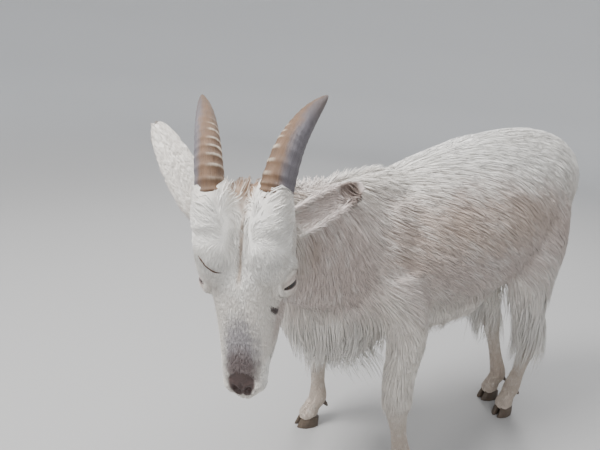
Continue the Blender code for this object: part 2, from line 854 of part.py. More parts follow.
def body_locks(body):
    """The coat of the trunk, neck and upper legs, as closed locks."""
    tree = surface_of(body)
    draw = random.Random(SEED)
    made = []

    def grow(root, lie, kind, length=None):
        usual, width, thick, lift, cling = LOCKS[kind]
        length = (length or usual) * draw.uniform(0.88, 1.12)
        path = lock_path(tree, root, lie, length, lift, cling)
        made.append(lock(path, width * draw.uniform(0.9, 1.1), thick))

    shares = [0.14 + 0.140 * i for i in range(TORSO_LOCK_ROWS)]
    for root in rows_of_roots(tree, TORSO, shares, 7, (0, 0, 1), (-44, 243), draw, 0.30):
        if root[0].z > 0.36 or abs(root[0].x) < 0.075:
            grow(root, body_lie, "torso")
    for root in rows_of_roots(tree, NECK, (0.50, 0.80), 6, (0, 0, 1), (-180, 180), draw):
        grow(root, body_lie, "neck")
    for share in CREST_SHARES:
        centre, _ = middle_of(NECK, share)
        grow(cast(tree, centre, Vector((0.15, 0.1, 1)).normalized()), body_lie, "crest")
    for side in (LEFT, RIGHT):
        turns = (-128, 52) if side == LEFT else (308, 128)
        rows = HIND_LEG[side]
        for root in rows_of_roots(tree, rows, (0.31,), 3, (0, -1, 0), turns, draw):
            grow(root, body_lie, "thigh")
        for share, turn, length in BREECHES:
            centre, way = middle_of(rows, share)
            outward = outward_at(side, turn)
            grow(cast(tree, centre, outward), falling(outward * 0.35 + way, 0.75), "breeches", length)
        for share in FOREARM_SHARES:
            centre, way = middle_of(FORELEG[side], share)
            outward = outward_at(side, FOREARM_TURN)
            grow(cast(tree, centre, outward, 0.06), falling(way + outward * 0.2, 0.9), "forearm")
    for y, x, length in APRON:
        root = cast(tree, Vector((x, y, 0.40)), Vector((5 * x, 0, -1)).normalized())
        grow(root, falling(Vector((0, 0.35, -1)), 0.5), "apron", length)
    for y, x in FRINGE:
        root = cast(tree, Vector((0, y, 0.43)), Vector((x, 0, -0.115)).normalized())
        grow(root, falling(Vector((-0.5 * x, 0.75, -1)), 0.75), "fringe")
    for root in rows_of_roots(tree, TAIL, (0.45, 0.72), 2, (1, 0, 0), (-60, 120), draw, 0.05):
        grow(root, falling(Vector((0, 0.15, -1)), 0.6), "tail")
    return made


def outward_at(side, turn):
    """The level way out of a leg, turned in degrees from its outside towards the front."""
    turn = math.radians(turn)
    return Vector((side * math.cos(turn), -math.sin(turn), 0))


def middle_of(rows, share):
    """The middle of a lofted form at a share of its length, and the way it runs there."""
    path = between(rows, 8)[:, :3]
    k = min(len(path) - 2, int(share * (len(path) - 1)))
    return Vector(path[k]), Vector(path[k + 1] - path[k]).normalized()


def parted(body):
    """Neck, torso, tail and upper legs, cut from the body with a thin gap between them."""
    nodes = {}
    neck = copy_of(body, "neck")
    kept_beyond(neck, SHOULDER_POINT, SHOULDER_WAY)
    kept_beyond(neck, NAPE_POINT, -NAPE_WAY)
    nodes["neck"] = neck
    torso = copy_of(body, "torso")
    kept_beyond(torso, SHOULDER_POINT, -SHOULDER_WAY)
    nodes["torso"] = torso
    blocks = body_blocks()
    clearers = [grown(block_made, GAP * 1.8) for block_made in blocks.values()]
    combine(torso, clearers, "DIFFERENCE", COAT_SOLVER)
    for name, block_made in blocks.items():
        leg = copy_of(body, name)
        combine(leg, [block_made], "INTERSECT", COAT_SOLVER)
        nodes[name] = leg
    for made in nodes.values():
        keep_largest(made)
    return nodes


# Lower legs and feet


def shin(kind, side, name):
    """The cannon, fetlock and pastern, cut level at the top and aslant at the coronet."""
    shape = bmesh.new()
    add_loft(shape, lower_leg(kind, side), sides=11, up=(0, -1, 0), per_span=1)
    made = object_from(name, shape)
    kept_beyond(made, Vector((0, 0, SHIN_TOP[kind])), Vector((0, 0, -1)), GAP)
    point, way = coronet_plane(kind, side)
    kept_beyond(made, point, way, GAP)
    return made


def coronet_plane(kind, side):
    """The slanted plane between pastern and claws, and the way up from it."""
    x, y = FEET[kind, side][0]
    way = Vector((0, 0, 1)) - foot_ahead(kind, side) * CORONET_SLOPE
    return Vector((x, y, CLAW_HEIGHT - 0.004)), way.normalized()


CLAW_OUTLINE = [
    (-0.0215, 0.0030),
    (0.0160, 0.0014),
    (0.0255, 0.0036),
    (0.0275, 0.0068),
    (0.0215, 0.0130),
    (0.0080, 0.0188),
    (-0.0100, 0.0198),
    (-0.0200, 0.0165),
    (-0.0240, 0.0095),
]


def claw(kind, side, outer, name):
    """One claw of a cloven hoof, flat at the sole and cut aslant where the pastern meets it."""
    x, y = FEET[kind, side][0]
    ahead = foot_ahead(kind, side)
    across = Vector((-ahead.y, ahead.x, 0)) * outer
    point, way = coronet_plane(kind, side)
    rings = []
    for share in (0.0, 0.35, 1.0):
        ring = []
        for along, out in CLAW_OUTLINE:
            narrow = 1 - 0.20 * share
            place = Vector((x, y, 0)) + ahead * (along * (1 - 0.24 * share) - 0.0065 * share)
            place += across * (0.0014 + (out - 0.0014) * narrow + 0.0006 * (share == 0.35))
            top = point.z - ((place - point).x * way.x + (place - point).y * way.y) / way.z
            place.z = top * share
            ring.append(place)
        rings.append(ring)
    shape = bmesh.new()
    add_rings(shape, rings)
    return object_from(name, shape, "hoof")


def dewclaw(kind, side, outer, leg, name):
    """A small blunt horn behind the fetlock, cut clear of the leg that it grows from."""
    x, y = FEET[kind, side][0]
    ahead = foot_ahead(kind, side)
    across = Vector((-ahead.y, ahead.x, 0)) * outer
    root = Vector((x, y, FETLOCK_HEIGHT - 0.006)) - ahead * (FETLOCK_SET_BACK + 0.010)
    root += across * 0.009
    tip = root - ahead * 0.011 + across * 0.003 - Vector((0, 0, 0.014))
    rows = [(*root, 0.0055, 0.0055), (*root.lerp(tip, 0.6), 0.0050, 0.0045)]
    rows.append((*tip, 0.0022, 0.0020))
    shape = bmesh.new()
    add_loft(shape, rows, sides=7, per_span=1)
    made = object_from(name, shape, "hoof")
    combine(made, [grown(leg, 2 * GAP)], "DIFFERENCE")
    keep_largest(made)
    return made


def feet():
    nodes = {}
    for (kind, side) in FEET:
        name = kind + "_" + SIDE_NAMES[side]
        leg = shin(kind, side, "shin_" + name)
        nodes[leg.name] = leg
        for outer, place in ((side, "outer"), (-side, "inner")):
            made = claw(kind, side, outer, "claw_" + name + "_" + place)
            nodes[made.name] = made
            made = dewclaw(kind, side, outer, leg, "dewclaw_" + name + "_" + place)
            nodes[made.name] = made
    return nodes


# Head, horns, ears and eyes


def horn(side, name):
    """A curved horn, blunt at its tip, with growth ridges along its front."""
    path = between(HORN[side], 3)
    count = len(path)
    rings = []
    ways = np.gradient(path, axis=0)
    ways /= np.linalg.norm(ways, axis=1)[:, None]
    for k, (centre, way) in enumerate(zip(path, ways)):
        share = k / (count - 1)
        front = np.array([-side * 0.30, -1.0, 0.0])
        front -= way * front.dot(way)
        front /= np.linalg.norm(front)
        across = np.cross(way, front)
        taper = (1 - 0.10 * share - 0.62 * share**3) * (1 - share**12) ** 0.5
        ridge = HORN_RIDGE_HEIGHT * (-1) ** k * (1 - share)
        ring = []
        for i in range(HORN_SIDES):
            turn = 2 * math.pi * i / HORN_SIDES
            keel = max(0.0, math.cos(turn)) ** 3
            deep = HORN_HALF_DEPTH * taper * (1 + 0.10 * keel) + ridge * keel * 1.6
            wide = HORN_HALF_WIDTH * taper * (1 - 0.18 * keel) + ridge * 0.4
            point = centre + front * math.cos(turn) * deep + across * math.sin(turn) * wide
            ring.append(HEAD @ Vector(point))
        rings.append(ring)
    shape = bmesh.new()
    add_rings(shape, rings[:-1])
    return object_from(name, shape, "horn")


def ear(side, name):
    """A leaf-shaped ear rolled to a cup that opens on one side and closes to a tube at its root."""
    path, open_way = EAR[side]
    path = between(path, 2)
    count = len(path)
    ways = np.gradient(path, axis=0)
    ways /= np.linalg.norm(ways, axis=1)[:, None]
    rings = []
    for k, (centre, way) in enumerate(zip(path, ways)):
        share = k / (count - 1)
        cup = np.array(open_way, float)
        cup -= way * cup.dot(way)
        cup /= np.linalg.norm(cup)
        across = np.cross(way, cup)
        leaf = math.sin(math.pi * (0.24 + 0.74 * share)) ** 0.45
        half = EAR_HALF_WIDTH * max(0.09, leaf) * 0.82
        deep = half * (0.95 - 0.45 * share)
        thick = EAR_THICKNESS * (1.5 - 0.7 * share)
        ring = []
        spread = 1.15 + 0.35 * share
        for i in range(7):
            a = math.pi / 2 * spread * (i / 3 - 1)
            ring.append(centre + across * math.sin(a) * half - cup * (math.cos(a) * deep - deep * 0.4))
        for i in range(7):
            a = math.pi / 2 * spread * (1 - i / 3)
            inner = 1 - thick / half * 0.9
            ring.append(
                centre
                + across * math.sin(a) * half * inner
                - cup * (math.cos(a) * (deep - thick) - deep * 0.4 - 0.2 * thick * abs(math.sin(a)))
            )
        rings.append([HEAD @ Vector(point) for point in ring])
    shape = bmesh.new()
    add_rings(shape, rings)
    return object_from(name, shape)


def eye_place(side):
    return HEAD @ Vector((side * EYE_AT.x, EYE_AT.y, EYE_AT.z))


def eye_ways(side):
    """The way an eye looks, the way its slit runs, and the way across the slit."""
    look = Vector((side * EYE_LOOK.x, EYE_LOOK.y, EYE_LOOK.z))
    slit = Vector((side * EYE_SLIT.x, EYE_SLIT.y, EYE_SLIT.z))
    slit = (slit - look * slit.dot(look)).normalized()
    across = look.cross(slit) * side
    turn = HEAD.to_3x3()
    return turn @ look, turn @ slit, turn @ across


def eye(side, name):
    made = ball(name, eye_place(side), (EYE_RADIUS,) * 3, detail=2)
    made.data.materials[0] = material("eye")
    return made


def open_eye(head, side):
    """A lidded bulge over the eye, a socket that clears the ball and an almond opening."""
    centre = eye_place(side)
    look, slit, across = eye_ways(side)
    lid = ball("lid", centre, (EYE_RADIUS + LID_THICKNESS,) * 3, detail=2)
    combine(head, [lid], "UNION")
    socket = ball("socket", centre, (EYE_RADIUS + GAP,) * 3, detail=2)
    half_length, upper, lower = 0.0112, 0.0030, 0.0034
    outline = []
    for i in range(12):
        turn = 2 * math.pi * i / 12
        rise = math.sin(turn)
        height = (upper if rise > 0 else lower) * rise
        outline.append(slit * math.cos(turn) * half_length + across * height)
    rings = [[centre + look * depth + point * wide for point in outline]
             for depth, wide in ((0.003, 0.8), (0.012, 1.0), (0.024, 1.25))]
    shape = bmesh.new()
    add_rings(shape, rings)
    combine(head, [socket, object_from("slit", shape)], "DIFFERENCE")


def seated(tree, points, way, sink):
    """Points dropped on the surface against a way, each sunk a little below it."""
    found = []
    turn = HEAD.to_3x3()
    for point in points:
        start = HEAD @ Vector(point)
        against = turn @ Vector(way(point))
        place, normal, _, _ = tree.ray_cast(start + against * 0.08, -against)
        found.append(place - normal * sink if place else start)
    return found


def groove(name, places, radii, sides=6):
    """A closed tube through places, to cut a groove."""
    rows = [(*place, radius, radius) for place, radius in zip(places, radii)]
    shape = bmesh.new()
    add_loft(shape, rows, sides=sides, up=(0.1, 0.2, 1), per_span=2)
    return object_from(name, shape)


def open_face(head):
    """Nostrils and the line of the mouth, cut into the muzzle."""
    tree = surface_of(head)
    tools = []
    for side in (LEFT, RIGHT):
        slits = [(side * x, y, z) for x, y, z in NOSTRIL]
        places = seated(tree, slits, lambda p: (p[0] * 30, -1.0, -0.7), 0.0012)
        tools.append(groove("nostril", places, NOSTRIL_RADII))
    line = [(-x, y, z) for x, y, z in MOUTH[::-1]] + MOUTH[1:]
    places = seated(tree, line, lambda p: (p[0] * 45, -0.1, -1.0 if abs(p[0]) < 0.015 else -0.25), 0.0004)
    radii = [0.0009] + [0.0015] * (len(line) - 2) + [0.0009]
    tools.append(groove("mouth", places, radii))
    combine(head, tools, "DIFFERENCE")


def head_and_its_parts():
    nodes = {}
    head = fused("head", add_head_and_nape, 0.0034, 4, head_softness)
    thin_out(head, HEAD_TRIANGLES)
    for side in (LEFT, RIGHT):
        open_eye(head, side)
    open_face(head)
    clear = grown(head, GAP)
    combine(head, head_locks(head), "UNION", COAT_SOLVER)
    kept_beyond(head, NAPE_POINT, NAPE_WAY)
    for side in (LEFT, RIGHT):
        name = SIDE_NAMES[side]
        made = ear(side, "ear_" + name)
        combine(made, [copy_of(clear, "clear")], "DIFFERENCE")
        keep_largest(made)
        nodes[made.name] = made
        made = horn(side, "horn_" + name)
        combine(head, [grown(made, GAP)], "DIFFERENCE", COAT_SOLVER)
        nodes[made.name] = made
        nodes["eye_" + name] = eye(side, "eye_" + name)
    remove(clear)
    keep_largest(head)
    nodes["head"] = head
    return nodes


def head_locks(head):
    """Forelock, cheek hair and the few hairs of a young beard, as closed locks."""
    tree = surface_of(head)
    turn = HEAD.to_3x3()
    made = []

    def grow(root, way, size, thick, cling):
        length, width = size
        path = lock_path(tree, root, lambda p, f: along_surface(way, f), length, HEAD_LOCK_LIFT, cling)
        made.append(lock(path, width, thick))

    for side in (LEFT, RIGHT):
        for (x, z), (out, down), *size in FORELOCK:
            root = cast(tree, HEAD @ Vector((side * x, 0.05, z)), turn @ Vector((0, -1, 0.25)).normalized())
            grow(root, turn @ Vector((side * out, 0, down)), size, FORELOCK_THICKNESS, 0.97)
        for (y, z), (back, down), *size in CHEEK:
            root = cast(tree, HEAD @ Vector((0, y, z)), turn @ Vector((side, 0, 0)), 0.10)
            grow(root, turn @ Vector((side * 0.1, back, down)), size, CHEEK_THICKNESS, 0.9)
    for x, length in CHIN:
        root = cast(tree, HEAD @ Vector((x, 0.066, -0.10)), turn @ Vector((0, 0.35, -1)).normalized(), 0.08)
        path = lock_path(tree, root, falling(turn @ Vector((0, 0.3, -1)), 0.5), length, 0.0, 0.1)
        made.append(lock(path, *CHIN_LOCK))
    return made


def clear_scene():
    for old in list(bpy.data.objects):
        bpy.data.objects.remove(old)


def centre_on_floor(nodes):
    """Moves the whole goat so that its box stands on the origin."""
    corners = [corner.co for made in nodes for corner in made.data.vertices]
    lowest = Vector([min(c[i] for c in corners) for i in range(3)])
    highest = Vector([max(c[i] for c in corners) for i in range(3)])
    middle = (lowest + highest) / 2
    for made in nodes:
        for corner in made.data.vertices:
            corner.co -= Vector((middle.x, middle.y, lowest.z))


def main():
    clear_scene()
    body = fused("body", add_body, 0.0065, 10, body_softness)
    thin_out(body, BODY_TRIANGLES)
    combine(body, body_locks(body), "UNION", COAT_SOLVER)
    nodes = parted(body)
    remove(body)
    nodes.update(feet())
    nodes.update(head_and_its_parts())
    for made in nodes.values():
        part_touching(made)
        keep_largest(made)
    centre_on_floor(nodes.values())


main()
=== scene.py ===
import math

import bmesh
import bpy
import numpy as np
from mathutils import Euler, Matrix, Vector
from mathutils.bvhtree import BVHTree
from mathutils.kdtree import KDTree


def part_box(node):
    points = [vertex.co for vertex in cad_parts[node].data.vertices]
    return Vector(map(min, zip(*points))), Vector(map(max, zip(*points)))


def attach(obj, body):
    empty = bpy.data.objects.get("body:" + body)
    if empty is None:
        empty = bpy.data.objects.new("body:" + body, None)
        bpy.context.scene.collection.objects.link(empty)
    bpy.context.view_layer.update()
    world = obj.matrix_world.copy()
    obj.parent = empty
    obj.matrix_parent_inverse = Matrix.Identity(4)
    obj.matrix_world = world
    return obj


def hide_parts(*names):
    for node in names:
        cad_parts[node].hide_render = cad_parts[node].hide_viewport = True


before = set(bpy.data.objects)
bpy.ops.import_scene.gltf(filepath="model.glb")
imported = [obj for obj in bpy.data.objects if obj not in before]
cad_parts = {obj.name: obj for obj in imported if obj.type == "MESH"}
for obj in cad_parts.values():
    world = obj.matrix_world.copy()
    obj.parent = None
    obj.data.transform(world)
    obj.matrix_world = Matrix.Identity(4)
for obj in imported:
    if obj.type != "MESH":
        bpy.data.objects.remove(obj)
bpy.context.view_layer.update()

LEFT, RIGHT = 1, -1
SIDES = (LEFT, RIGHT)
SIDE_NAMES = {LEFT: "left", RIGHT: "right"}
# Sizes are in metres. Places are in the goat's frame, or in the head's where a comment says so
EAR_HALF_WIDTH = 0.03
HORN_HALF_WIDTH = 0.0165
HORN_HALF_DEPTH = 0.0225

FETLOCK_HEIGHT = 0.066
CLAW_HEIGHT = 0.031

HEAD_AT = Vector((0.219, -0.494, 0.543))
HEAD_TURN = math.radians(48.0)
HEAD_NOD = math.radians(12.2)
HEAD_TILT = math.radians(6.0)
EYE_RADIUS = 0.0125
EYE_AT = Vector((0.0425, 0.0395, -0.005))
EYE_LOOK = Vector((0.86, -0.44, -0.12)).normalized()
EYE_SLIT = Vector((0.3, 0.82, 0.48)).normalized()


def head_place():
    turn = Matrix.Rotation(HEAD_TURN, 4, "Z")
    nod = Matrix.Rotation(-HEAD_NOD, 4, "X")
    tilt = Matrix.Rotation(-HEAD_TILT, 4, "Y")
    return Matrix.Translation(HEAD_AT) @ turn @ nod @ tilt


def metres(table):
    """A table of millimetres, in metres."""
    if isinstance(table, dict):
        return {key: metres(value) for key, value in table.items()}
    if isinstance(table, (list, tuple)):
        return [metres(value) for value in table]
    return round(table / 1000, 7)


HEAD = head_place()

# The tables of metres() are written in millimetres
TORSO = metres([
    (0, -268, 395, 30, 45),
    (0, -250, 405, 60, 85),
    (0, -205, 425, 82, 130),
    (0, -150, 443, 97, 156),
    (0, -75, 454, 110, 162),
    (0, 0, 472, 123, 170),
    (0, 80, 490, 132, 177),
    (0, 150, 512, 130, 175),
    (0, 215, 540, 119, 158),
    (0, 275, 558, 107, 138),
    (0, 330, 560, 89, 117),
    (0, 368, 553, 64, 88),
    (0, 390, 540, 34, 48),
])
NECK = metres([
    (0, -50, 475, 80, 122),
    (4, -140, 474, 84, 138),
    (26, -225, 486, 77, 122),
    (62, -300, 507, 66, 100),
    (104, -368, 531, 56, 82),
    (143, -421, 555, 50, 68),
    (171, -456, 568, 40, 50),
])
# Skull and jaw in the head's frame: x, y, z, half width, half depth
SKULL = metres([
    (0, 62, 101, 26, 20),
    (0, 58, 87, 41, 36),
    (0, 53, 62, 49, 45),
    (0, 50, 30, 51, 46),
    (0, 46, 0, 47, 43),
    (0, 43, -30, 37, 35),
    (0, 42, -60, 31, 28),
    (0, 42, -90, 27.2, 23),
    (0, 43.5, -112, 26.2, 19),
    (0, 45.5, -124, 23.2, 16),
    (0, 47.5, -133, 18, 12.5),
    (0, 49.5, -140, 11.5, 8),
    (0, 51, -145, 6, 4.5),
])
JAW = metres([
    (0, 96, 45, 36, 22),
    (0, 92, 12, 43, 31),
    (0, 84, -28, 37, 28),
    (0, 76, -60, 32.5, 22.5),
    (0, 68, -90, 26.5, 17),
    (0, 62.5, -114, 20.5, 13),
    (0, 61, -128, 15.5, 9.5),
    (0, 60, -138, 9, 5.5),
])
# Centre and radii of the muscles and ridges that stand out of the lofts, on the left side
HEAD_SWELLINGS = metres([
    ((32, 80, 6), (14, 32, 40)),
    ((41.5, 33, 13), (16, 21, 17)),
    ((40.5, 39, -6), (16, 22, 17)),
    ((33, 21, 36), (19, 20, 23)),
    ((32, 20, 64), (20, 21, 21)),
    ((12.5, 37.5, -122.5), (10, 9.5, 11.5)),
    ((12, 52, -126), (11, 11.5, 13)),
    ((7.5, 62.5, -130), (9.5, 9.5, 10.5)),
])
TRUNK_SWELLINGS = metres([
    ((58, -140, 450), (34, 80, 118)),
    ((40, -215, 395), (34, 46, 70)),
    ((60, 240, 592), (34, 62, 52)),
])
BRISKET = metres([
    (12, -292, 422, 30, 40),
    (6, -262, 378, 44, 52),
    (0, -222, 347, 52, 58),
    (0, -165, 333, 54, 52),
    (0, -105, 330, 53, 46),
    (0, -50, 333, 50, 36),
])
BELLY = metres([
    (0, -60, 335, 60, 36),
    (0, 20, 332, 70, 38),
    (0, 100, 342, 72, 36),
    (0, 160, 362, 60, 34),
])
# Leg stations down to the top of the cannon: x, y, z, half width, half depth fore and aft
FORELEG = metres({
    LEFT: [
        (70, -130, 440, 36, 58),
        (87, -104, 360, 32, 49),
        (97, -98, 310, 29, 38),
        (102, -106, 260, 27, 31),
        (105, -107, 222, 23.5, 26),
        (107, -104, 195, 22.5, 24.5),
        (109, -101, 168, 17.5, 19),
    ],
    RIGHT: [
        (-70, -140, 440, 36, 58),
        (-88, -118, 360, 32, 48),
        (-96, -118, 310, 29, 37),
        (-101, -130, 260, 26.5, 30),
        (-103, -137, 222, 23, 25),
        (-104, -139, 195, 22.5, 24.5),
        (-106, -138, 168, 17.5, 19),
    ],
})
HIND_LEG = metres({
    LEFT: [
        (58, 265, 560, 46, 68),
        (70, 258, 480, 48, 84),
        (82, 246, 410, 43, 78),
        (87, 256, 350, 35, 58),
        (85, 276, 300, 27.5, 43),
        (82, 298, 258, 21.5, 33),
        (78, 318, 226, 19, 28),
        (73, 326, 190, 16.5, 21),
    ],
    RIGHT: [
        (-58, 265, 560, 46, 68),
        (-70, 262, 480, 48, 84),
        (-78, 256, 410, 43, 78),
        (-75, 270, 350, 35, 58),
        (-67, 292, 300, 27.5, 43),
        (-60, 314, 258, 21.5, 33),
        (-52, 334, 226, 19, 28),
        (-44, 342, 190, 16.5, 21),
    ],
})
LEGS = {"front": FORELEG, "hind": HIND_LEG}
# Where each foot stands, and how far it toes out in degrees
FEET = {
    ("front", LEFT): ((0.116, -0.094), 8),
    ("front", RIGHT): ((-0.108, -0.146), 6),
    ("hind", LEFT): ((0.054, 0.318), 8),
    ("hind", RIGHT): ((-0.006, 0.338), 4),
}
# Half width and half depth of the lower leg at the cannon, fetlock, pastern and coronet
LOWER_LEG = metres({
    "front": ((13.5, 15), (17.5, 19.5), (15.5, 16.5), (18.5, 21.5)),
    "hind": ((13, 15.5), (17, 19.5), (15, 16.5), (18, 21)),
})
FETLOCK_SET_BACK = 0.02
PASTERN_SET_BACK = 0.01

TAIL = metres([
    (0, 345, 592, 20, 16),
    (0, 378, 598, 17, 14),
    (2, 400, 582, 15, 12),
    (4, 410, 552, 13, 10),
    (5, 412, 522, 8, 6),
])

# The horn's middle line on the left, in the head's frame
HORN_LINE = metres([
    (31, 16.5, 55),
    (35, 15, 85),
    (40, 19.5, 115),
    (48, 34, 148),
    (61, 60, 180),
    (76.5, 89, 206.5),
])
HORN = {side: [(side * x, y, z) for x, y, z in HORN_LINE] for side in SIDES}
# Each ear's middle line in the head's frame, and the way its cup opens
EAR = {
    LEFT: (
        metres([(43, 66, 54), (66, 89, 70), (92.5, 131, 88.5), (117.4, 180, 104.8)]),
        (0.69, -0.59, 0.41),
    ),
    RIGHT: (
        metres([(-44, 62, 58), (-71, 64, 87), (-102, 73, 129), (-135, 90.5, 172)]),
        (-0.45, 0.86, -0.24),
    ),
}
# How thick the coat is that the solids hold and the skin leaves to the tufts
TORSO_COAT = 0.011
NECK_COAT = 0.008
THIGH_COAT = 0.007
FOREARM_COAT = 0.003
# Middle lines of the left nostril and of the left half of the mouth, in the head's frame
NOSTRIL = metres([
    (5, 36, -132.5),
    (8.5, 34.5, -127.5),
    (13, 35.5, -122.5),
    (16.5, 40, -117.5),
])
MOUTH = metres([
    (0, 54.5, -140.5),
    (8.5, 55.5, -137),
    (15, 58, -128),
    (19.5, 60.5, -114),
    (23.5, 64.5, -98),
    (26.5, 69, -84),
])


def lower_leg(kind, side):
    """Stations from the knee or hock down into the foot."""
    upper = LEGS[kind][side]
    top = Vector(upper[-1][:3])
    x, y = FEET[kind, side][0]
    ahead = foot_ahead(kind, side)
    coronet = Vector((x, y, CLAW_HEIGHT - 0.003)) - ahead * 0.002
    fetlock = Vector((x, y, FETLOCK_HEIGHT)) - ahead * FETLOCK_SET_BACK
    pastern = Vector((x, y, (FETLOCK_HEIGHT + CLAW_HEIGHT) / 2)) - ahead * PASTERN_SET_BACK
    cannon, joint, ankle, foot = LOWER_LEG[kind]
    rows = list(upper[-3:])
    for share in (0.3, 0.65):
        rows.append((*top.lerp(fetlock, share), *cannon))
    for place, size in ((fetlock, joint), (pastern, ankle), (coronet, foot)):
        rows.append((*place, *size))
    rows.append((*(coronet - Vector((0, 0, 0.012))), *foot))
    return rows


def upper_leg(kind, side, coat):
    """Stations from the trunk to below the knee or hock, less the coat where it is long."""
    rows = LEGS[kind][side]
    return thinner(rows[:-3], coat) + rows[-3:] + lower_leg(kind, side)[3:4]


def foot_ahead(kind, side):
    """The level way a foot points."""
    toe = math.radians(FEET[kind, side][1])
    return Vector((side * math.sin(toe), -math.cos(toe), 0))


def thinner(rows, depth):
    """The stations with the coat's depth taken off their half sizes."""
    return [(x, y, z, wide - depth, high - depth) for x, y, z, wide, high in rows]


def between(rows, per_span):
    """A smooth curve of rows through the given rows."""
    rows = np.array(rows, float)
    ends = np.vstack([2 * rows[0] - rows[1], rows, 2 * rows[-1] - rows[-2]])
    found = []
    for k in range(1, len(ends) - 2):
        before, start, stop, after = ends[k - 1 : k + 3]
        for i in range(per_span):
            t = i / per_span
            found.append(
                start
                + 0.5 * (stop - before) * t
                + (before - 2.5 * start + 2 * stop - 0.5 * after) * t**2
                + (1.5 * (start - stop) + 0.5 * (after - before)) * t**3
            )
    found.append(rows[-1])
    return np.array(found)


def add_rings(shape, rings):
    """Quads from ring to ring, with a flat cap at each end."""
    made = [[shape.verts.new(point) for point in ring] for ring in rings]
    sides = len(made[0])
    for lower, upper in zip(made, made[1:]):
        for i in range(sides):
            j = (i + 1) % sides
            shape.faces.new((lower[i], lower[j], upper[j], upper[i]))
    shape.faces.new(made[0][::-1])
    shape.faces.new(made[-1])


def loft_rings(rows, sides, up=(0, 0, 1), per_span=3):
    """Rings along rows of x, y, z, half width and half height."""
    rows = between(rows, per_span)
    centres = rows[:, :3]
    ways = np.gradient(centres, axis=0)
    ways /= lengths(ways)[:, None]
    angles = np.arange(sides) * 2 * math.pi / sides
    level, rise = np.cos(angles), np.sin(angles)
    rings = []
    for centre, way, row in zip(centres, ways, rows):
        across = np.cross(up, way)
        across /= np.linalg.norm(across)
        upward = np.cross(way, across)
        rings.append(centre + row[3] * level[:, None] * across + row[4] * rise[:, None] * upward)
    return rings


def add_loft(shape, rows, sides=20, place=None, **settings):
    rings = loft_rings(rows, sides, **settings)
    if place is not None:
        rings = [[place @ Vector(point) for point in ring] for ring in rings]
    add_rings(shape, rings)


def add_ball(shape, centre, radii, place=Matrix(), turn=(0, 0, 0), detail=3):
    """An ellipsoid. Turn is in degrees."""
    spin = Euler([math.radians(a) for a in turn]).to_matrix().to_4x4()
    where = place @ Matrix.Translation(centre) @ spin @ Matrix.Diagonal((*radii, 1))
    bmesh.ops.create_icosphere(shape, subdivisions=detail, radius=1, matrix=where)


# The tables are in the goat's own frame; pieces move by SHIFT to where the solids stand
EYE_LOW, EYE_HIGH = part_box("eye_left")
SHIFT = np.array((EYE_LOW + EYE_HIGH) / 2 - HEAD @ EYE_AT)
HEAD_TURNER = np.array(HEAD.to_3x3())
HEAD_SEAT = np.array(HEAD.translation)
BODY_VOXEL = 0.004
HEAD_VOXEL = 0.0016
HEAD_PASSES = 22
HEAD_TRIANGLES = 108000
BODY_TRIANGLES = 80000
COAT_SHARE = 1.0


def to_head(points):
    """Points of the goat's frame, in the head's."""
    return (points - HEAD_SEAT) @ HEAD_TURNER


def from_head(points):
    """Points of the head's frame, in the goat's."""
    return np.asarray(points) @ HEAD_TURNER.T + HEAD_SEAT


def lengths(ways):
    return np.linalg.norm(ways, axis=-1)


def unit(ways):
    ways = np.asarray(ways, float)
    return ways / np.maximum(np.linalg.norm(ways, axis=-1, keepdims=True), 1e-9)


def mirrored(points):
    """The points with those of the right side moved over to the left."""
    return np.column_stack([np.abs(points[:, 0]), points[:, 1], points[:, 2]])


def ramp(low, high, value):
    """A smooth step from 0 at low to 1 at high."""
    share = np.clip((value - low) / (high - low), 0, 1)
    return share * share * (3 - 2 * share)


def blend(first, second, share):
    return first * (1 - share) + second * share


def linear(colour):
    """An sRGB colour in linear light."""
    colour = np.asarray(colour, float)
    return np.where(colour <= 0.04045, colour / 12.92, ((colour + 0.055) / 1.055) ** 2.4)


# Meshes


def placed(name, data):
    """A new object in the scene."""
    made = bpy.data.objects.new(name, data)
    bpy.context.scene.collection.objects.link(made)
    return made


def evaluated(made):
    """The mesh of an object with its modifiers applied."""
    graph = bpy.context.evaluated_depsgraph_get()
    return bpy.data.meshes.new_from_object(made.evaluated_get(graph))


def tree_of(points, faces):
    return BVHTree.FromPolygons([Vector(p) for p in points], faces.tolist())


def mesh_piece(name, points, faces, finish, slot, nodes=(), tones=None, uvs=None):
    """A finished piece of triangles that rides on the goat. Uvs are rows for each face corner."""
    points = np.asarray(points, float) + SHIFT
    faces = np.asarray(faces, np.int64)
    mesh = bpy.data.meshes.new(name)
    mesh.vertices.add(len(points))
    mesh.vertices.foreach_set("co", points.astype(np.float32).ravel())
    mesh.loops.add(faces.size)
    mesh.loops.foreach_set("vertex_index", faces.astype(np.int32).ravel())
    mesh.polygons.add(len(faces))
    mesh.polygons.foreach_set("loop_start", np.arange(0, faces.size, 3, dtype=np.int32))
    mesh.update(calc_edges=True)
    mesh.shade_smooth()
    if tones is not None:
        layer = mesh.attributes.new("tone", "FLOAT_COLOR", "POINT")
        values = np.ones((len(points), 4), np.float32)
        values[:, : tones.shape[1]] = tones
        layer.data.foreach_set("color", values.ravel())
    for uv_name, values in (uvs or {}).items():
        layer = mesh.uv_layers.new(name=uv_name)
        layer.data.foreach_set("uv", np.asarray(values, np.float32).ravel())
    mesh.materials.append(finish)
    made = placed(name, mesh)
    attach(made, "root")
    if nodes:
        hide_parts(*nodes)


def arrays_of(mesh):
    """Corner places and triangles of a mesh."""
    mesh.calc_loop_triangles()
    points = np.empty(len(mesh.vertices) * 3, np.float32)
    mesh.vertices.foreach_get("co", points)
    faces = np.empty(len(mesh.loop_triangles) * 3, np.int32)
    mesh.loop_triangles.foreach_get("vertices", faces)
    return points.reshape(-1, 3).astype(float), faces.reshape(-1, 3)


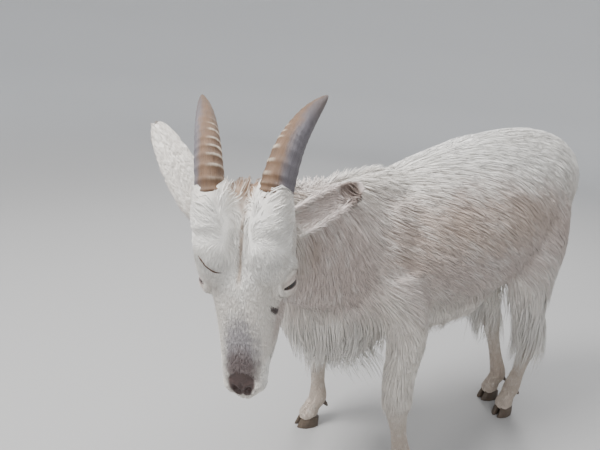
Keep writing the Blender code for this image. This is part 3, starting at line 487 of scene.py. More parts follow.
def remeshed(shape, voxel, passes, softness):
    """The forms fused at a voxel size and smoothed, as points and triangles."""
    mesh = bpy.data.meshes.new("forms")
    shape.to_mesh(mesh)
    shape.free()
    made = placed("forms", mesh)
    step = made.modifiers.new("Fuse", "REMESH")
    step.mode = "VOXEL"
    step.voxel_size = voxel
    fused = evaluated(made)
    made.modifiers.clear()
    made.data = fused
    points, _ = arrays_of(fused)
    group = made.vertex_groups.new(name="soft")
    shares = np.round(softness(points) * 8) / 8
    for share in np.unique(shares):
        if share > 0:
            group.add(np.nonzero(shares == share)[0].tolist(), float(share), "REPLACE")
    step = made.modifiers.new("Soften", "SMOOTH")
    step.factor = 0.5
    step.iterations = passes
    step.vertex_group = "soft"
    found = arrays_of(evaluated(made))
    bpy.data.objects.remove(made)
    return found


def thinned(points, faces, most):
    """The surface with its flat places thinned to at most so many triangles."""
    mesh = bpy.data.meshes.new("surface")
    mesh.from_pydata(points.tolist(), [], faces.tolist())
    made = placed("surface", mesh)
    step = made.modifiers.new("Thin", "DECIMATE")
    step.ratio = min(1.0, most / len(faces))
    found = arrays_of(evaluated(made))
    bpy.data.objects.remove(made)
    return found


def corner_ways(points, faces):
    """The unit normal at each corner."""
    a, b, c = (points[faces[:, k]] for k in range(3))
    flat = np.cross(b - a, c - a)
    ways = np.zeros_like(points)
    for k in range(3):
        np.add.at(ways, faces[:, k], flat)
    return unit(ways)


def face_places(points, faces):
    """The middle and the unit normal of each triangle."""
    a, b, c = (points[faces[:, k]] for k in range(3))
    return points[faces].mean(axis=1), unit(np.cross(b - a, c - a))


# The skin's forms

HORN_STEPS = 30
# Where the cuff of skin has its stations along the horn's steps, and how far it stands off
HORN_CUFF = ((0, 0.006), (12, 0.006), (24, 0.0045), (34, 0.0022), (41, 0.0006), (44, -0.002))
EAR_FULLNESS = {LEFT: 0.62, RIGHT: 0.76}
# Furred lobes from each brow up to the foot of the horn: centre and radii in the head's frame
LOBES = metres([
    ((29, 15, 44), (24, 25, 48)),
    ((32.5, 16.5, 80), (21.5, 27, 32)),
    ((35, 26, 15), (18, 24, 22)),
])


def ear_rings(side, per_span, around, thick=0.0048):
    """Rings of a leaf-shaped ear rolled to a cup that opens on one side."""
    path, open_way = EAR[side]
    path = between(path, per_span)
    ways = unit(np.gradient(path, axis=0))
    rings = []
    for k, (centre, way) in enumerate(zip(path, ways)):
        share = k / (len(path) - 1)
        cup = np.array(open_way, float)
        cup = unit(cup - way * cup.dot(way))
        across = np.cross(way, cup)
        leaf = math.sin(math.pi * (0.24 + 0.74 * share)) ** 0.45
        half = EAR_HALF_WIDTH * max(0.09, leaf) * EAR_FULLNESS[side]
        deep = half * (0.85 - 0.4 * share)
        spread = 1.12 + 0.3 * share
        turns = math.pi / 2 * spread * np.linspace(-1, 1, around)
        outer = [
            centre + across * math.sin(a) * half - cup * (math.cos(a) * deep - deep * 0.4)
            for a in turns
        ]
        inner = [
            centre
            + across * math.sin(a) * half * (1 - thick / half * 0.9)
            - cup * (math.cos(a) * (deep - thick) - deep * 0.4)
            for a in turns[::-1]
        ]
        rings.append([HEAD @ Vector(point) for point in outer + inner])
    return rings


def head_forms():
    shape = bmesh.new()
    add_loft(shape, thinner(NECK[2:], NECK_COAT + 0.003), sides=40)
    add_loft(shape, SKULL, sides=48, place=HEAD, up=(0, -1, 0), per_span=4)
    add_loft(shape, JAW, sides=40, place=HEAD, up=(0, -1, 0), per_span=4)
    for side in SIDES:
        for (x, y, z), radii in HEAD_SWELLINGS + LOBES:
            add_ball(shape, (side * x, y, z), radii, HEAD, detail=4)
        add_rings(shape, ear_rings(side, 10, 21))
        add_loft(shape, horn_cuff(side), sides=36, place=HEAD, up=(0, -1, 0), per_span=4)
    return shape


def horn_taper(share):
    return 1 - 0.1 * share - 0.62 * share**3.0


def horn_cuff(side):
    """Stations of the furred skin that climbs the foot of a horn."""
    path = between(HORN[side], HORN_STEPS)
    rows = []
    for k, spare in HORN_CUFF:
        share = k / (len(path) - 1)
        taper = horn_taper(share)
        rows.append((*path[k], HORN_HALF_WIDTH * taper + spare, HORN_HALF_DEPTH * taper + spare))
    return rows


def body_forms():
    shape = bmesh.new()
    add_loft(shape, thinner(TORSO, TORSO_COAT), sides=48)
    add_loft(shape, thinner(NECK, NECK_COAT), sides=40)
    add_loft(shape, BRISKET, sides=28)
    add_loft(shape, BELLY, sides=28)
    add_loft(shape, TAIL, sides=16, up=(1, 0, 0))
    for side in SIDES:
        for (x, y, z), radii in TRUNK_SWELLINGS:
            add_ball(shape, (side * x, y, z), radii, detail=4)
        for kind, coat in (("front", FOREARM_COAT), ("hind", THIGH_COAT)):
            add_loft(shape, upper_leg(kind, side, coat), sides=32, up=(0, -1, 0))
            rows = lower_leg(kind, side)
            add_loft(shape, rows[:-1] + [foot_end(rows[-2])], sides=28, up=(0, -1, 0))
    return shape


def foot_end(coronet):
    """The last station of the pastern, just inside the top of the claws."""
    x, y, z, wide, deep = coronet
    return (x, y, z - 0.004, wide * 0.96, deep * 0.96)


def body_softness(points):
    return np.clip((points[:, 2] - 0.2) / 0.12, 0.12, 1)


def head_softness(points):
    x, y, z = to_head(points).T
    brow = 0.9 * ramp(-0.005, 0.02, z) * ramp(0.062, 0.052, np.abs(x)) * ramp(0.07, 0.05, y)
    return np.clip(np.maximum((y - 0.075) / 0.04, brow), 0.25, 1)


# Sculpting on the head

# How far behind an eye's lids the skin is from its centre
EYE_HOLLOW = 0.0095


def near_line(points, line):
    """Distance of each point from a line of places, with the share along it."""
    line = np.asarray(line, float)
    best = np.full(len(points), np.inf)
    where = np.zeros(len(points))
    for k, (start, stop) in enumerate(zip(line, line[1:])):
        run = stop - start
        share = np.clip(((points - start) @ run) / run.dot(run), 0, 1)
        away = lengths(points - start - share[:, None] * run)
        closer = away < best
        best[closer] = away[closer]
        where[closer] = (k + share[closer]) / (len(line) - 1)
    return best, where


def sculpt_face(points, faces):
    """The cleft between the lobes of the forehead, nostrils, lips, and the cleft of the lip."""
    ways = corner_ways(points, faces)
    folded = mirrored(to_head(points))
    x, y, z = folded.T
    front = ramp(0.06, 0.045, y)
    cleft = front * ramp(-0.012, 0.015, z) * ramp(0.115, 0.1, z)
    step = -0.011 * cleft * np.exp(-((x / 0.006) ** 2))
    low = z < -0.07
    away, _ = near_line(folded, np.array(NOSTRIL) + (0, -0.003, 0))
    step -= low * 0.0048 * np.exp(-((away / 0.0028) ** 2))
    step += low * 0.0012 * np.exp(-(((away - 0.0056) / 0.0022) ** 2))
    away, _ = near_line(folded, np.array(MOUTH) + (0.001, 0, 0))
    step -= low * 0.0028 * np.exp(-((away / 0.0016) ** 2))
    step += low * 0.0009 * np.exp(-(((away - 0.0046) / 0.0025) ** 2))
    lip = low * ramp(-0.118, -0.126, z) * ramp(0.06, 0.052, y)
    step -= lip * 0.0014 * np.exp(-((x / 0.0012) ** 2))
    return points + ways * step[:, None]


def eye_frame(side):
    """An eye's centre, its look, and the ways along and across its slit, in the head's frame."""
    centre = np.array((side * EYE_AT.x, EYE_AT.y, EYE_AT.z))
    look = unit((side * EYE_LOOK.x, EYE_LOOK.y, EYE_LOOK.z))
    slit = np.array((side * EYE_SLIT.x, EYE_SLIT.y, EYE_SLIT.z))
    slit = unit(slit - look * slit.dot(look))
    across = np.cross(look, slit) * side
    if across[2] < 0:
        across = -across
    return centre, look, slit, across


def from_eye(local, side):
    """Ways from an eye's centre to the places, their lengths, and cosines with the eye's look."""
    centre, look, _, _ = eye_frame(side)
    out = local - centre
    reach = lengths(out)
    return out, reach, out @ look / np.maximum(reach, 1e-6)


def on_ear(local, side, reach, start, outward_from):
    """Which places are near an ear's middle line and past its root, and the share along it."""
    away, share = near_line(local, EAR[side][0])
    return (away < reach) & (share > start) & (side * local[:, 0] > outward_from), share


def hollow_eyes(points):
    """Sinks the skin behind each eye ball, so that only the lids cover it."""
    local = to_head(points)
    for side in SIDES:
        out, reach, cosine = from_eye(local, side)
        turn = np.degrees(np.arccos(np.clip(cosine, -1, 1)))
        pull = ramp(62, 46, turn) * (reach < 0.03)
        wanted = np.where(reach > EYE_HOLLOW, EYE_HOLLOW, reach)
        share = (1 - pull) + pull * wanted / np.maximum(reach, 1e-6)
        local = eye_frame(side)[0] + out * share[:, None]
    return from_head(local)


# Unwrapping: each part of the body has its own cell, round its own middle line

EAR_CELLS = {2: LEFT, 3: RIGHT}
LEG_CELLS = {("front", LEFT): 0, ("front", RIGHT): 1, ("hind", LEFT): 2, ("hind", RIGHT): 3}
# Height and reach within which a place belongs to a leg
LEG_ZONES = {"front": (0.335, 0.055), "hind": (0.4, 0.095)}
# Reach from an ear's middle line, share of it that is root, and distance from the head's middle
EAR_ZONE = (0.034, 0.12, 0.047)
LEG_LINES = {}
for KIND, SIDE in LEG_CELLS:
    ROWS = np.array(LEGS[KIND][SIDE] + lower_leg(KIND, SIDE)[3:])
    LEG_LINES[KIND, SIDE] = ROWS[np.argsort(ROWS[:, 2])]
TRUNK_LINE = np.array(NECK[:1:-1] + TORSO[2:])


def leg_axis(key, heights):
    rows = LEG_LINES[key]
    return np.column_stack([np.interp(heights, rows[:, 2], rows[:, k]) for k in (0, 1)])


def region_of(points, is_head):
    """Which cell a place belongs to: 0 trunk, 1 head, 2 and 3 the ears, 4 to 7 the legs."""
    if is_head:
        local = to_head(points)
        found = np.ones(len(points), int)
        for cell, side in EAR_CELLS.items():
            found[on_ear(local, side, *EAR_ZONE)[0]] = cell
        return found
    found = np.zeros(len(points), int)
    for key, cell in LEG_CELLS.items():
        top, reach = LEG_ZONES[key[0]]
        axis = leg_axis(key, points[:, 2])
        away = np.hypot(points[:, 0] - axis[:, 0], points[:, 1] - axis[:, 1])
        own = (points[:, 2] < top) & (away < reach) & (points[:, 0] * key[1] > -0.02)
        if key[0] == "hind":
            own |= (points[:, 2] < 0.3) & (points[:, 1] > 0.15) & (away < 0.07)
        found[own] = 4 + cell
    return found


def turn_and_height(points, cell):
    """The turn round a cell's middle line, and the share along it."""
    if cell == 0:
        order = np.argsort(TRUNK_LINE[:, 1])
        x, z = (np.interp(points[:, 1], TRUNK_LINE[order, 1], TRUNK_LINE[order, k]) for k in (0, 2))
        turn = np.arctan2(points[:, 2] - z, points[:, 0] - x)
        return turn, (points[:, 1] + 0.5) / 0.96
    if cell == 1:
        local = to_head(points)
        return np.arctan2(local[:, 0], local[:, 1] - 0.055), (local[:, 2] + 0.17) / 0.32
    if cell in EAR_CELLS:
        local = to_head(points)
        path, open_way = EAR[EAR_CELLS[cell]]
        path = np.array(path)
        _, share = near_line(local, path)
        cup = unit(open_way)
        run = unit(path[-1] - path[0])
        across = np.cross(run, cup)
        stops = np.linspace(0, 1, len(path))
        middle = np.array([np.interp(share, stops, path[:, k]) for k in range(3)]).T
        out = local - middle
        return np.arctan2(out @ across, out @ cup), share
    key = list(LEG_CELLS)[cell - 4]
    axis = leg_axis(key, points[:, 2])
    return np.arctan2(points[:, 0] - axis[:, 0], points[:, 1] - axis[:, 1]), points[:, 2] / 0.42


# Each cell of the unwrap: left edge, lower edge, width, height
CELLS = {
    0: (0.02, 0.02, 0.46, 0.96),
    1: (0.52, 0.64, 0.46, 0.34),
    2: (0.52, 0.5, 0.22, 0.12),
    3: (0.76, 0.5, 0.22, 0.12),
    **{4 + k: (left, 0.02, 0.1, 0.46) for k, left in enumerate((0.52, 0.64, 0.76, 0.88))},
}


def unwrapped(points, cells, middle_turns=None):
    """Places on the unwrap. With middle turns, each turn stays within half a circle of its own."""
    found = np.zeros((len(points), 2))
    for cell, (left, low, wide, high) in CELLS.items():
        own = cells == cell
        if not own.any():
            continue
        turn, share = turn_and_height(points[own], cell)
        if middle_turns is not None:
            middle = middle_turns[own]
            turn = middle + (turn - middle + math.pi) % (2 * math.pi) - math.pi
        u = 0.04 + 0.92 * (turn + math.pi) / (2 * math.pi)
        found[own] = np.column_stack([left + wide * u, low + high * np.clip(share, 0, 1)])
    return found


def skin_uvs(points, faces, is_head):
    """The unwrap for each face corner, without a face that spans the cut."""
    centres = points[faces].mean(axis=1)
    cells = region_of(centres, is_head)
    turns = np.zeros(len(faces))
    for cell in np.unique(cells):
        own = cells == cell
        turns[own] = turn_and_height(centres[own], cell)[0]
    corners = points[faces.ravel()]
    return unwrapped(corners, np.repeat(cells, 3), np.repeat(turns, 3))


# Markings, with some painted highlight and painted shade among them, the same on skin and coat

CREAM = linear((0.93, 0.905, 0.87))
WHITE = linear((0.96, 0.95, 0.93))
ROSE = linear((0.84, 0.78, 0.75))
BEIGE = linear((0.77, 0.685, 0.61))
TAN = linear((0.58, 0.465, 0.37))
BROWN = linear((0.34, 0.25, 0.19))
GREY = linear((0.62, 0.6, 0.61))
UMBER = linear((0.4, 0.34, 0.33))
LEATHER = linear((0.29, 0.235, 0.225))
PINK = linear((0.84, 0.765, 0.74))

# Soft patches: colour, strength, centre, radii; those of the head are in its frame, on both sides
BODY_PATCHES = [
    (ROSE, 0.92, (0.115, 0.04, 0.5), (0.09, 0.38, 0.135)),
    (ROSE, 0.92, (0.11, -0.33, 0.5), (0.11, 0.18, 0.14)),
    (ROSE, 0.55, (0.09, 0.28, 0.46), (0.08, 0.1, 0.14)),
    (BEIGE, 0.46, (0.12, 0.06, 0.545), (0.06, 0.17, 0.06)),
    (BEIGE, 0.4, (0.095, -0.11, 0.52), (0.06, 0.09, 0.07)),
    (WHITE, 0.7, (0.0, -0.2, 0.33), (0.1, 0.14, 0.07)),
    (WHITE, 0.85, (0.08, 0.3, 0.35), (0.09, 0.12, 0.12)),
]
HEAD_PATCHES = [
    # Painted highlight: the first patch paints the forehead white, where the light falls brightest.
    (WHITE, 0.85, (0.0, 0.0, 0.04), (0.065, 0.045, 0.05)),
    (TAN, 0.95, (0.0, 0.065, 0.103), (0.027, 0.06, 0.036)),
    (TAN, 0.3, (0.054, 0.115, 0.03), (0.024, 0.032, 0.034)),
    (ROSE, 0.6, (0.04, 0.06, -0.045), (0.022, 0.03, 0.035)),
    (ROSE, 0.75, (0.052, 0.042, -0.004), (0.013, 0.022, 0.013)),
    (GREY, 0.92, (0.0, 0.01, -0.084), (0.0235, 0.026, 0.046)),
    (WHITE, 0.9, (0.0, 0.065, -0.135), (0.03, 0.02, 0.022)),
    (WHITE, 0.85, (0.028, 0.045, -0.112), (0.0085, 0.025, 0.026)),
    (UMBER, 0.85, (0.0, 0.022, -0.104), (0.0185, 0.024, 0.032)),
]
# A dark mark in the coat of the left cheek, seen from the front of the head: half width, places
CHEEK_MARK = (0.002, ((0.032, 0, -0.0315), (0.0355, 0, -0.039)))
# A thin dark line of hairs over the right eye
BROW_LINE = metres([(-40, 10, 26), (-33, 0, 17), (-25, -6, 10), (-16, -10, 8)])


def rough(points, size, seed):
    """Smooth noise between about -1 and 1, from a few waves."""
    draw = np.random.default_rng(seed)
    found = np.zeros(len(points))
    for k in range(7):
        way = unit(draw.normal(size=3)) * (1 + 0.35 * k) / size
        found += np.sin(points @ way * 2 * math.pi + draw.uniform(0, 6.3)) / (1 + 0.35 * k)
    return found / 3.2


def markings_and_painted_light(points, ways):
    """The coat's colour, in linear light, with some painted highlight and painted shade, at places
    whose skin faces the given ways.
    """
    tone = np.tile(CREAM, (len(points), 1))
    wander = 0.22 * rough(points, 0.11, 1) + 0.12 * rough(points, 0.035, 2)

    def paint(colour, strength):
        tone[:] += (colour - tone) * strength[:, None]

    def paint_patches(patches, places, outer, inner):
        for colour, strength, centre, radii in patches:
            reach = lengths((mirrored(places) - centre) / radii) + wander
            paint(colour, strength * ramp(outer, inner, reach))

    paint_patches(BODY_PATCHES, points, 1.35, 0.45)
    # Painted highlight: the top of the back is painted white, where the light from above falls
    # brightest.
    back = ramp(0.575, 0.64, points[:, 2] + 0.02 * wander) * ramp(-0.26, -0.12, points[:, 1])
    paint(WHITE, 0.8 * back)
    local = to_head(points)
    wander = 0.2 * rough(points, 0.02, 3)
    paint_patches(HEAD_PATCHES, local, 1.3, 0.6)
    x, y, z = local.T
    # Painted shade: a beige line down the cleft between the forehead's lobes.
    painted_cleft_shade = ramp(0.0045, 0.001, np.abs(x)) * ramp(-0.01, 0.004, z)
    painted_cleft_shade *= ramp(0.08, 0.062, z) * (y < 0.05)
    paint(BEIGE, 0.75 * painted_cleft_shade)
    half_width, places = CHEEK_MARK
    away, _ = near_line(local * (1, 0, 1), places)
    paint(LEATHER, 0.95 * (ramp(1.6 * half_width, 0.8 * half_width, away) * (y < 0.05)))
    for side in SIDES:
        on, share = on_ear(local, side, 0.034, 0.1, 0.045)
        inside = on * ramp(-0.2, 0.4, (ways @ HEAD_TURNER) @ unit(EAR[side][1]))
        paint(CREAM, 0.7 * on)
        paint(PINK, 0.6 * inside)
        deep = ramp(0.56, 0.8, share + 0.3 * wander)
        paint(BROWN, 0.8 * inside * deep * ramp(0.97, 0.88, share))
    stained = ramp(0.25, 0.09, points[:, 2] + 0.02 * wander)
    paint(BEIGE, 0.62 * stained)
    return np.clip(tone, 0.01, 1)


def leather_share(points):
    """1 on the bare nose pad, the wings of the nostrils and the edge of the lips."""
    folded = mirrored(to_head(points))
    x, y, z = folded.T
    pad = ramp(1.1, 0.85, np.hypot(x / 0.016, (z + 0.12) / 0.0165)) * ramp(0.056, 0.05, y)
    away, _ = near_line(folded, NOSTRIL)
    wings = ramp(0.0068, 0.005, away) * ramp(0.056, 0.05, y)
    away, _ = near_line(folded, MOUTH)
    lips = 0.8 * ramp(0.0034, 0.0016, away)
    return np.clip(np.maximum(pad, wings) + lips, 0, 1)


# Lie, length and width of the coat


def horn_reach(local, side):
    """Distance from the middle line of a horn's foot, in the head's frame."""
    return near_line(local, HORN[side][:3])[0]


def body_lie(points, ways):
    """The way the hair runs: back and down on the trunk, down on the legs and the breast."""
    _, y, z = points.T
    back = ramp(-0.3, -0.14, y) * ramp(0.3, 0.44, z)
    rump = ramp(0.24, 0.36, y)
    top = ramp(0.35, 0.95, ways[:, 2])
    run = np.zeros_like(points)
    run[:, 0] = 0.25 * np.sign(ways[:, 0]) * top
    run[:, 1] = 0.95 * back * (1 - 0.75 * rump) + 0.1 + 0.5 * top
    run[:, 2] = -0.55 - 0.35 * (1 - back) - rump * 0.9
    sweep = 0.3 * np.sin(8.0 * y + 5.0 * z)
    run[:, 1] += sweep * back * (1 - top)
    neck = ramp(-0.2, -0.3, y)
    run += neck[:, None] * np.array((-0.3, 0.35, -0.15))
    run[:, 1] += 0.14 * rough(points, 0.1, 5) + 0.1 * rough(points, 0.03, 7)
    run[:, 2] += 0.14 * rough(points, 0.09, 6) + 0.1 * rough(points, 0.03, 8)
    return run


def head_lie(points, ways):
    """Down the face, back over the cheeks, forward from the poll and out along the ears."""
    local = to_head(points)
    local_ways = ways @ HEAD_TURNER
    x, y, z = local.T
    run = np.zeros_like(local)
    cheek = ramp(0.55, 0.95, np.abs(local_ways[:, 0])) * ramp(-0.1, -0.04, z)
    under = ramp(0.0, 0.6, local_ways[:, 1])
    run[:, 0] = np.sign(x) * (0.35 * ramp(-0.02, 0.05, z) + 0.1)
    run[:, 1] = 0.9 * cheek + 0.8 * under
    run[:, 2] = -1.0 + 0.35 * cheek
    poll = ramp(0.072, 0.092, z) * ramp(0.026, 0.018, np.abs(x))
    run[:, 1] += 1.4 * poll
    run[:, 2] += 2.2 * poll
    for side in SIDES:
        path = EAR[side][0]
        run[on_ear(local, side, 0.036, 0.08, 0.043)[0]] = unit(np.subtract(path[-1], path[0]))
    for side in SIDES:
        look = eye_frame(side)[1]
        out, reach, _ = from_eye(local, side)
        near = ramp(0.028, 0.018, reach)
        run += (unit(out - np.outer(out @ look, look)) * 2.0 + (0, 0.8, 0)) * near[:, None]
        near = ramp(0.034, 0.026, horn_reach(local, side)) * ramp(0.01, 0.018, np.abs(x))
        run += (unit(np.subtract(HORN[side][2], HORN[side][0])) * 2.6) * near[:, None]
    run = run @ HEAD_TURNER.T
    back = ramp(0.11, 0.145, y)
    return run * (1 - back)[:, None] + body_lie(points, ways) * back[:, None]


def body_fur(points, ways):
    """Length, width, how far the tips stand out and how they cling, at each root."""
    x, y, z = points.T
    length = np.full(len(points), 0.052)
    length -= 0.01 * ramp(-0.2, -0.34, y)
    under = ramp(-0.2, -0.8, ways[:, 2])
    breast = ramp(-0.1, -0.17, y) * ramp(0.42, 0.34, z)
    belly = under * ramp(0.44, 0.36, z) * (1 - breast)
    length += 0.062 * breast + 0.036 * belly
    hind = ramp(0.16, 0.24, y) * ramp(0.46, 0.38, z)
    behind = ramp(-0.1, 0.6, ways[:, 1])
    length += hind * (0.026 * behind + 0.056)
    fore = ramp(0.36, 0.31, z) * (y < -0.03) * ramp(0.06, 0.075, np.abs(x))
    length += fore * (-0.024 + 0.014 * behind)
    fore_knee = ramp(0.225, 0.19, z) * ramp(0.055, 0.07, np.abs(x))
    knee = np.where(y > 0.1, ramp(0.252, 0.225, z), fore_knee)
    length = blend(length, 0.0085, knee)
    length *= 1 - 0.35 * ramp(0.09, 0.05, z)
    crest = ramp(0.75, 0.97, ways[:, 2]) * ramp(-0.1, -0.22, y)
    stand = 0.0045 + 0.024 * crest + 0.005 * breast
    skirt = hind * ramp(0.38, 0.33, z)
    stand += 0.026 * skirt
    stand = blend(stand, 0.001, knee)
    cling = 0.9 - 0.72 * breast - 0.55 * belly - (0.6 + 0.1 * behind) * hind - 0.4 * crest
    cling = np.where(knee > 0.5, 0.92, cling)
    width = blend(0.0018, 0.001, knee)
    clump = blend(0.36, 0.2, knee) + 0.22 * np.maximum(hind, breast)
    return length, width, stand, cling, clump


def head_fur(points, ways):
    """The same for the head: short on the face, longer on the forehead, poll, chin and neck."""
    local = to_head(points)
    x, y, z = local.T
    length = np.full(len(points), 0.0068)
    fore = ramp(0.05, 0.075, z) * ramp(0.07, 0.04, y) * ramp(0.05, 0.03, np.abs(x))
    length += 0.02 * fore
    cleft = ramp(0.009, 0.003, np.abs(x)) * ramp(-0.01, 0.01, z)
    cleft = cleft * ramp(0.08, 0.065, z) * ramp(0.05, 0.04, y)
    brow = ramp(0.012, 0.03, z) * ramp(0.05, 0.03, y)
    length += 0.006 * brow
    poll = ramp(0.08, 0.098, z) * ramp(0.03, 0.02, np.abs(x))
    length += 0.02 * poll
    cheek = ramp(0.05, 0.075, y) * ramp(-0.085, -0.03, z)
    length += 0.006 * cheek
    chin = ramp(-0.105, -0.12, z) * ramp(0.06, 0.068, y)
    length += 0.01 * chin
    length *= 1 - 0.6 * cleft
    neck = ramp(0.108, 0.138, y)
    length = blend(length, 0.038, neck)
    muzzle = ramp(-0.085, -0.115, z) * (1 - chin)
    length -= 0.003 * muzzle
    stand = 0.0006 + 0.003 * fore + 0.0018 * cheek + 0.0055 * neck + 0.0015 * brow + 0.007 * poll
    cling = 0.93 - 0.12 * cheek - 0.45 * chin - 0.15 * fore - 0.3 * poll
    for side in SIDES:
        foot = ramp(0.032, 0.026, horn_reach(local, side))
        cling = cling * (1 - 0.7 * foot)
        stand = stand * (1 - 0.8 * foot)
        lid = ramp(0.024, 0.018, from_eye(local, side)[1])
        length = blend(length, 0.0048, lid)
        stand = blend(stand, 0.0007, lid)
        on, share = on_ear(local, side, 0.034, 0.08, 0.045)
        cup = on * ramp(0.0, 0.4, (ways @ HEAD_TURNER) @ unit(EAR[side][1]))
        length = length * (1 - cup) + 0.017 * cup * (1 - 0.5 * share)
        stand = blend(stand, 0.006, cup)
        cling = cling * (1 - 0.35 * cup)
    width = 0.0008 + 0.0005 * fore + 0.001 * neck + 0.0003 * cheek
    clump = 0.3 + 0.3 * neck + 0.2 * fore
    return length, width, stand, cling, clump


# Growing the coat

ROOT_DEPTH = 0.0012
TUFTS_PER_CLUMP = 14
PIECE_TRIANGLES = 188000
BAKE_PATCH = 0.003


def roots_on(points, faces, density, draw):
    """Random places on the triangles, with blended normals, by density per square metre."""
    a, b, c = (points[faces[:, k]] for k in range(3))
    areas = lengths(np.cross(b - a, c - a)) / 2
    wanted = areas * density
    counts = np.floor(wanted + draw.uniform(size=len(wanted))).astype(int)
    index = np.repeat(np.arange(len(faces)), counts)
    u, v = draw.uniform(size=(2, len(index)))
    flip = u + v > 1
    u[flip], v[flip] = 1 - u[flip], 1 - v[flip]
    place = a[index] + (b[index] - a[index]) * u[:, None] + (c[index] - a[index]) * v[:, None]
    ways = corner_ways(points, faces)
    normals = unit(
        ways[faces[index, 0]] * (1 - u - v)[:, None]
        + ways[faces[index, 1]] * u[:, None]
        + ways[faces[index, 2]] * v[:, None]
    )
    return place, normals


def grown_paths(tree, roots, normals, lie, fur, steps, draw):
    """Each tuft's middle line, facing, width and clump number, grown along the coat's lie."""
    length, width, stand, cling, clump = fur(roots, normals)
    length = length * draw.uniform(0.72, 1.22, len(roots))
    stand = stand * draw.uniform(0.5, 1.4, len(roots))
    yaw = draw.normal(0, 0.07, len(roots))
    paths = np.zeros((len(roots), steps + 1, 3))
    facings = np.zeros_like(paths)
    paths[:, 0] = roots - normals * ROOT_DEPTH
    facings[:, 0] = normals
    place = roots.copy()
    face = normals.copy()
    run_before = None
    down = np.array((0.0, 0.0, -1.0))
    for k in range(1, steps + 1):
        share = k / steps
        run = lie(place, face)
        run = unit(run - face * np.sum(run * face, axis=1, keepdims=True))
        side = np.cross(run, face)
        run = unit(run * np.cos(yaw)[:, None] + side * np.sin(yaw)[:, None])
        loose = (1 - cling)[:, None] * share
        run = unit(run * (1 - 0.75 * loose) + down * 0.9 * loose)
        if run_before is not None:
            run = unit(run * 0.6 + run_before * 0.4)
        run_before = run
        free = place + run * (length / steps)[:, None]
        for i in range(len(roots)):
            near, normal, _, _ = tree.find_nearest(free[i])
            hold = cling[i] * (1 - 0.45 * share)
            aim = near + normal * (stand[i] * share**0.8)
            point = free[i] + (np.array(aim) - free[i]) * hold
            gap = float(np.dot(point - near, normal))
            least = 0.0008 + 0.3 * stand[i] * share
            if gap < least:
                point = point + np.array(normal) * (least - gap)
            free[i] = point
            face[i] = face[i] + (np.array(normal) - face[i]) * hold
        face = unit(face)
        place = free
        paths[:, k] = place
        facings[:, k] = face
    leaders, own = clumps_of(roots, draw)
    for k in range(1, steps + 1):
        hold = (clump * (k / steps) ** 1.3)[:, None]
        paths[:, k] += (paths[leaders, k] - roots[leaders] + roots - paths[:, k]) * 0.5 * hold
        paths[:, k] += (roots[leaders] - roots) * hold * 0.75
    return paths, facings, width * draw.uniform(0.75, 1.3, len(roots)), own


def clumps_of(roots, draw):
    """The leader whose clump each tuft joins, and a number from 0 to 1 for its clump."""
    count = max(1, len(roots) // TUFTS_PER_CLUMP)
    tree = KDTree(count)
    for i in range(count):
        tree.insert(roots[i], i)
    tree.balance()
    leaders = np.array([tree.find(root)[1] for root in roots])
    return leaders, draw.uniform(size=count)[leaders]


def tuft_arrays(paths, facings, widths, tones, bake, draw):
    """Closed tapering tufts with two edges and a low ridge, as points, faces, tones and uvs."""
    count, rings = paths.shape[0], paths.shape[1] - 1
    along = np.linspace(0, 1, rings + 1)
    taper = np.interp(along, (0, 0.18, 0.55, 0.85, 1), (0.55, 1.0, 0.85, 0.42, 0.0))
    ways = unit(np.gradient(paths, axis=1))
    sides = unit(np.cross(ways, facings))
    ups = np.cross(sides, ways)
    half = 0.5 * widths[:, None, None] * taper[None, :, None]
    left = paths + sides * half
    right = paths - sides * half
    ridge = paths + ups * half * 0.55
    points = np.stack([left, ridge, right], axis=2)[:, :rings].reshape(count, rings * 3, 3)
    points = np.concatenate([points, paths[:, rings:]], axis=1)
    per = rings * 3 + 1
    local = [(0, 1, 2)]
    for k in range(rings - 1):
        for i in range(3):
            j = (i + 1) % 3
            a, b, c, d = 3 * k + i, 3 * k + j, 3 * k + 3 + j, 3 * k + 3 + i
            local += [(a, d, c), (a, c, b)]
    last = 3 * (rings - 1)
    local = np.array(local + [(last + i, per - 1, last + (i + 1) % 3) for i in range(3)])
    faces = (local[None] + (np.arange(count) * per)[:, None, None]).reshape(-1, 3)
    across = np.tile((0.0, 0.5, 1.0), rings)
    run = np.repeat(along[:rings], 3)
    across, run = np.append(across, 0.5), np.append(run, 1.0)
    # Painted shade: each tuft darker toward its root and lighter toward its tip.
    root_shade = 0.9 + 0.12 * run
    spread = draw.uniform(0.92, 1.06, count)
    colour = tones[:, None, :] * root_shade[None, :, None] * spread[:, None, None]
    strand = []
    for place in (across, run):
        strand.append(np.tile(place, (count, 1)) + draw.uniform(0, 40, count)[:, None])
    strand = np.stack(strand, axis=2).reshape(-1, 2)
    patch = np.stack([across - 0.5, run - 0.5], axis=1) * BAKE_PATCH
    baked = (bake[:, None, :] + patch[None]).reshape(-1, 2)
    corner = faces.ravel()
    uvs = {"OFBake": baked[corner], "Strand": strand[corner]}
    return points.reshape(-1, 3), faces, np.clip(colour.reshape(-1, 3), 0, 1), uvs


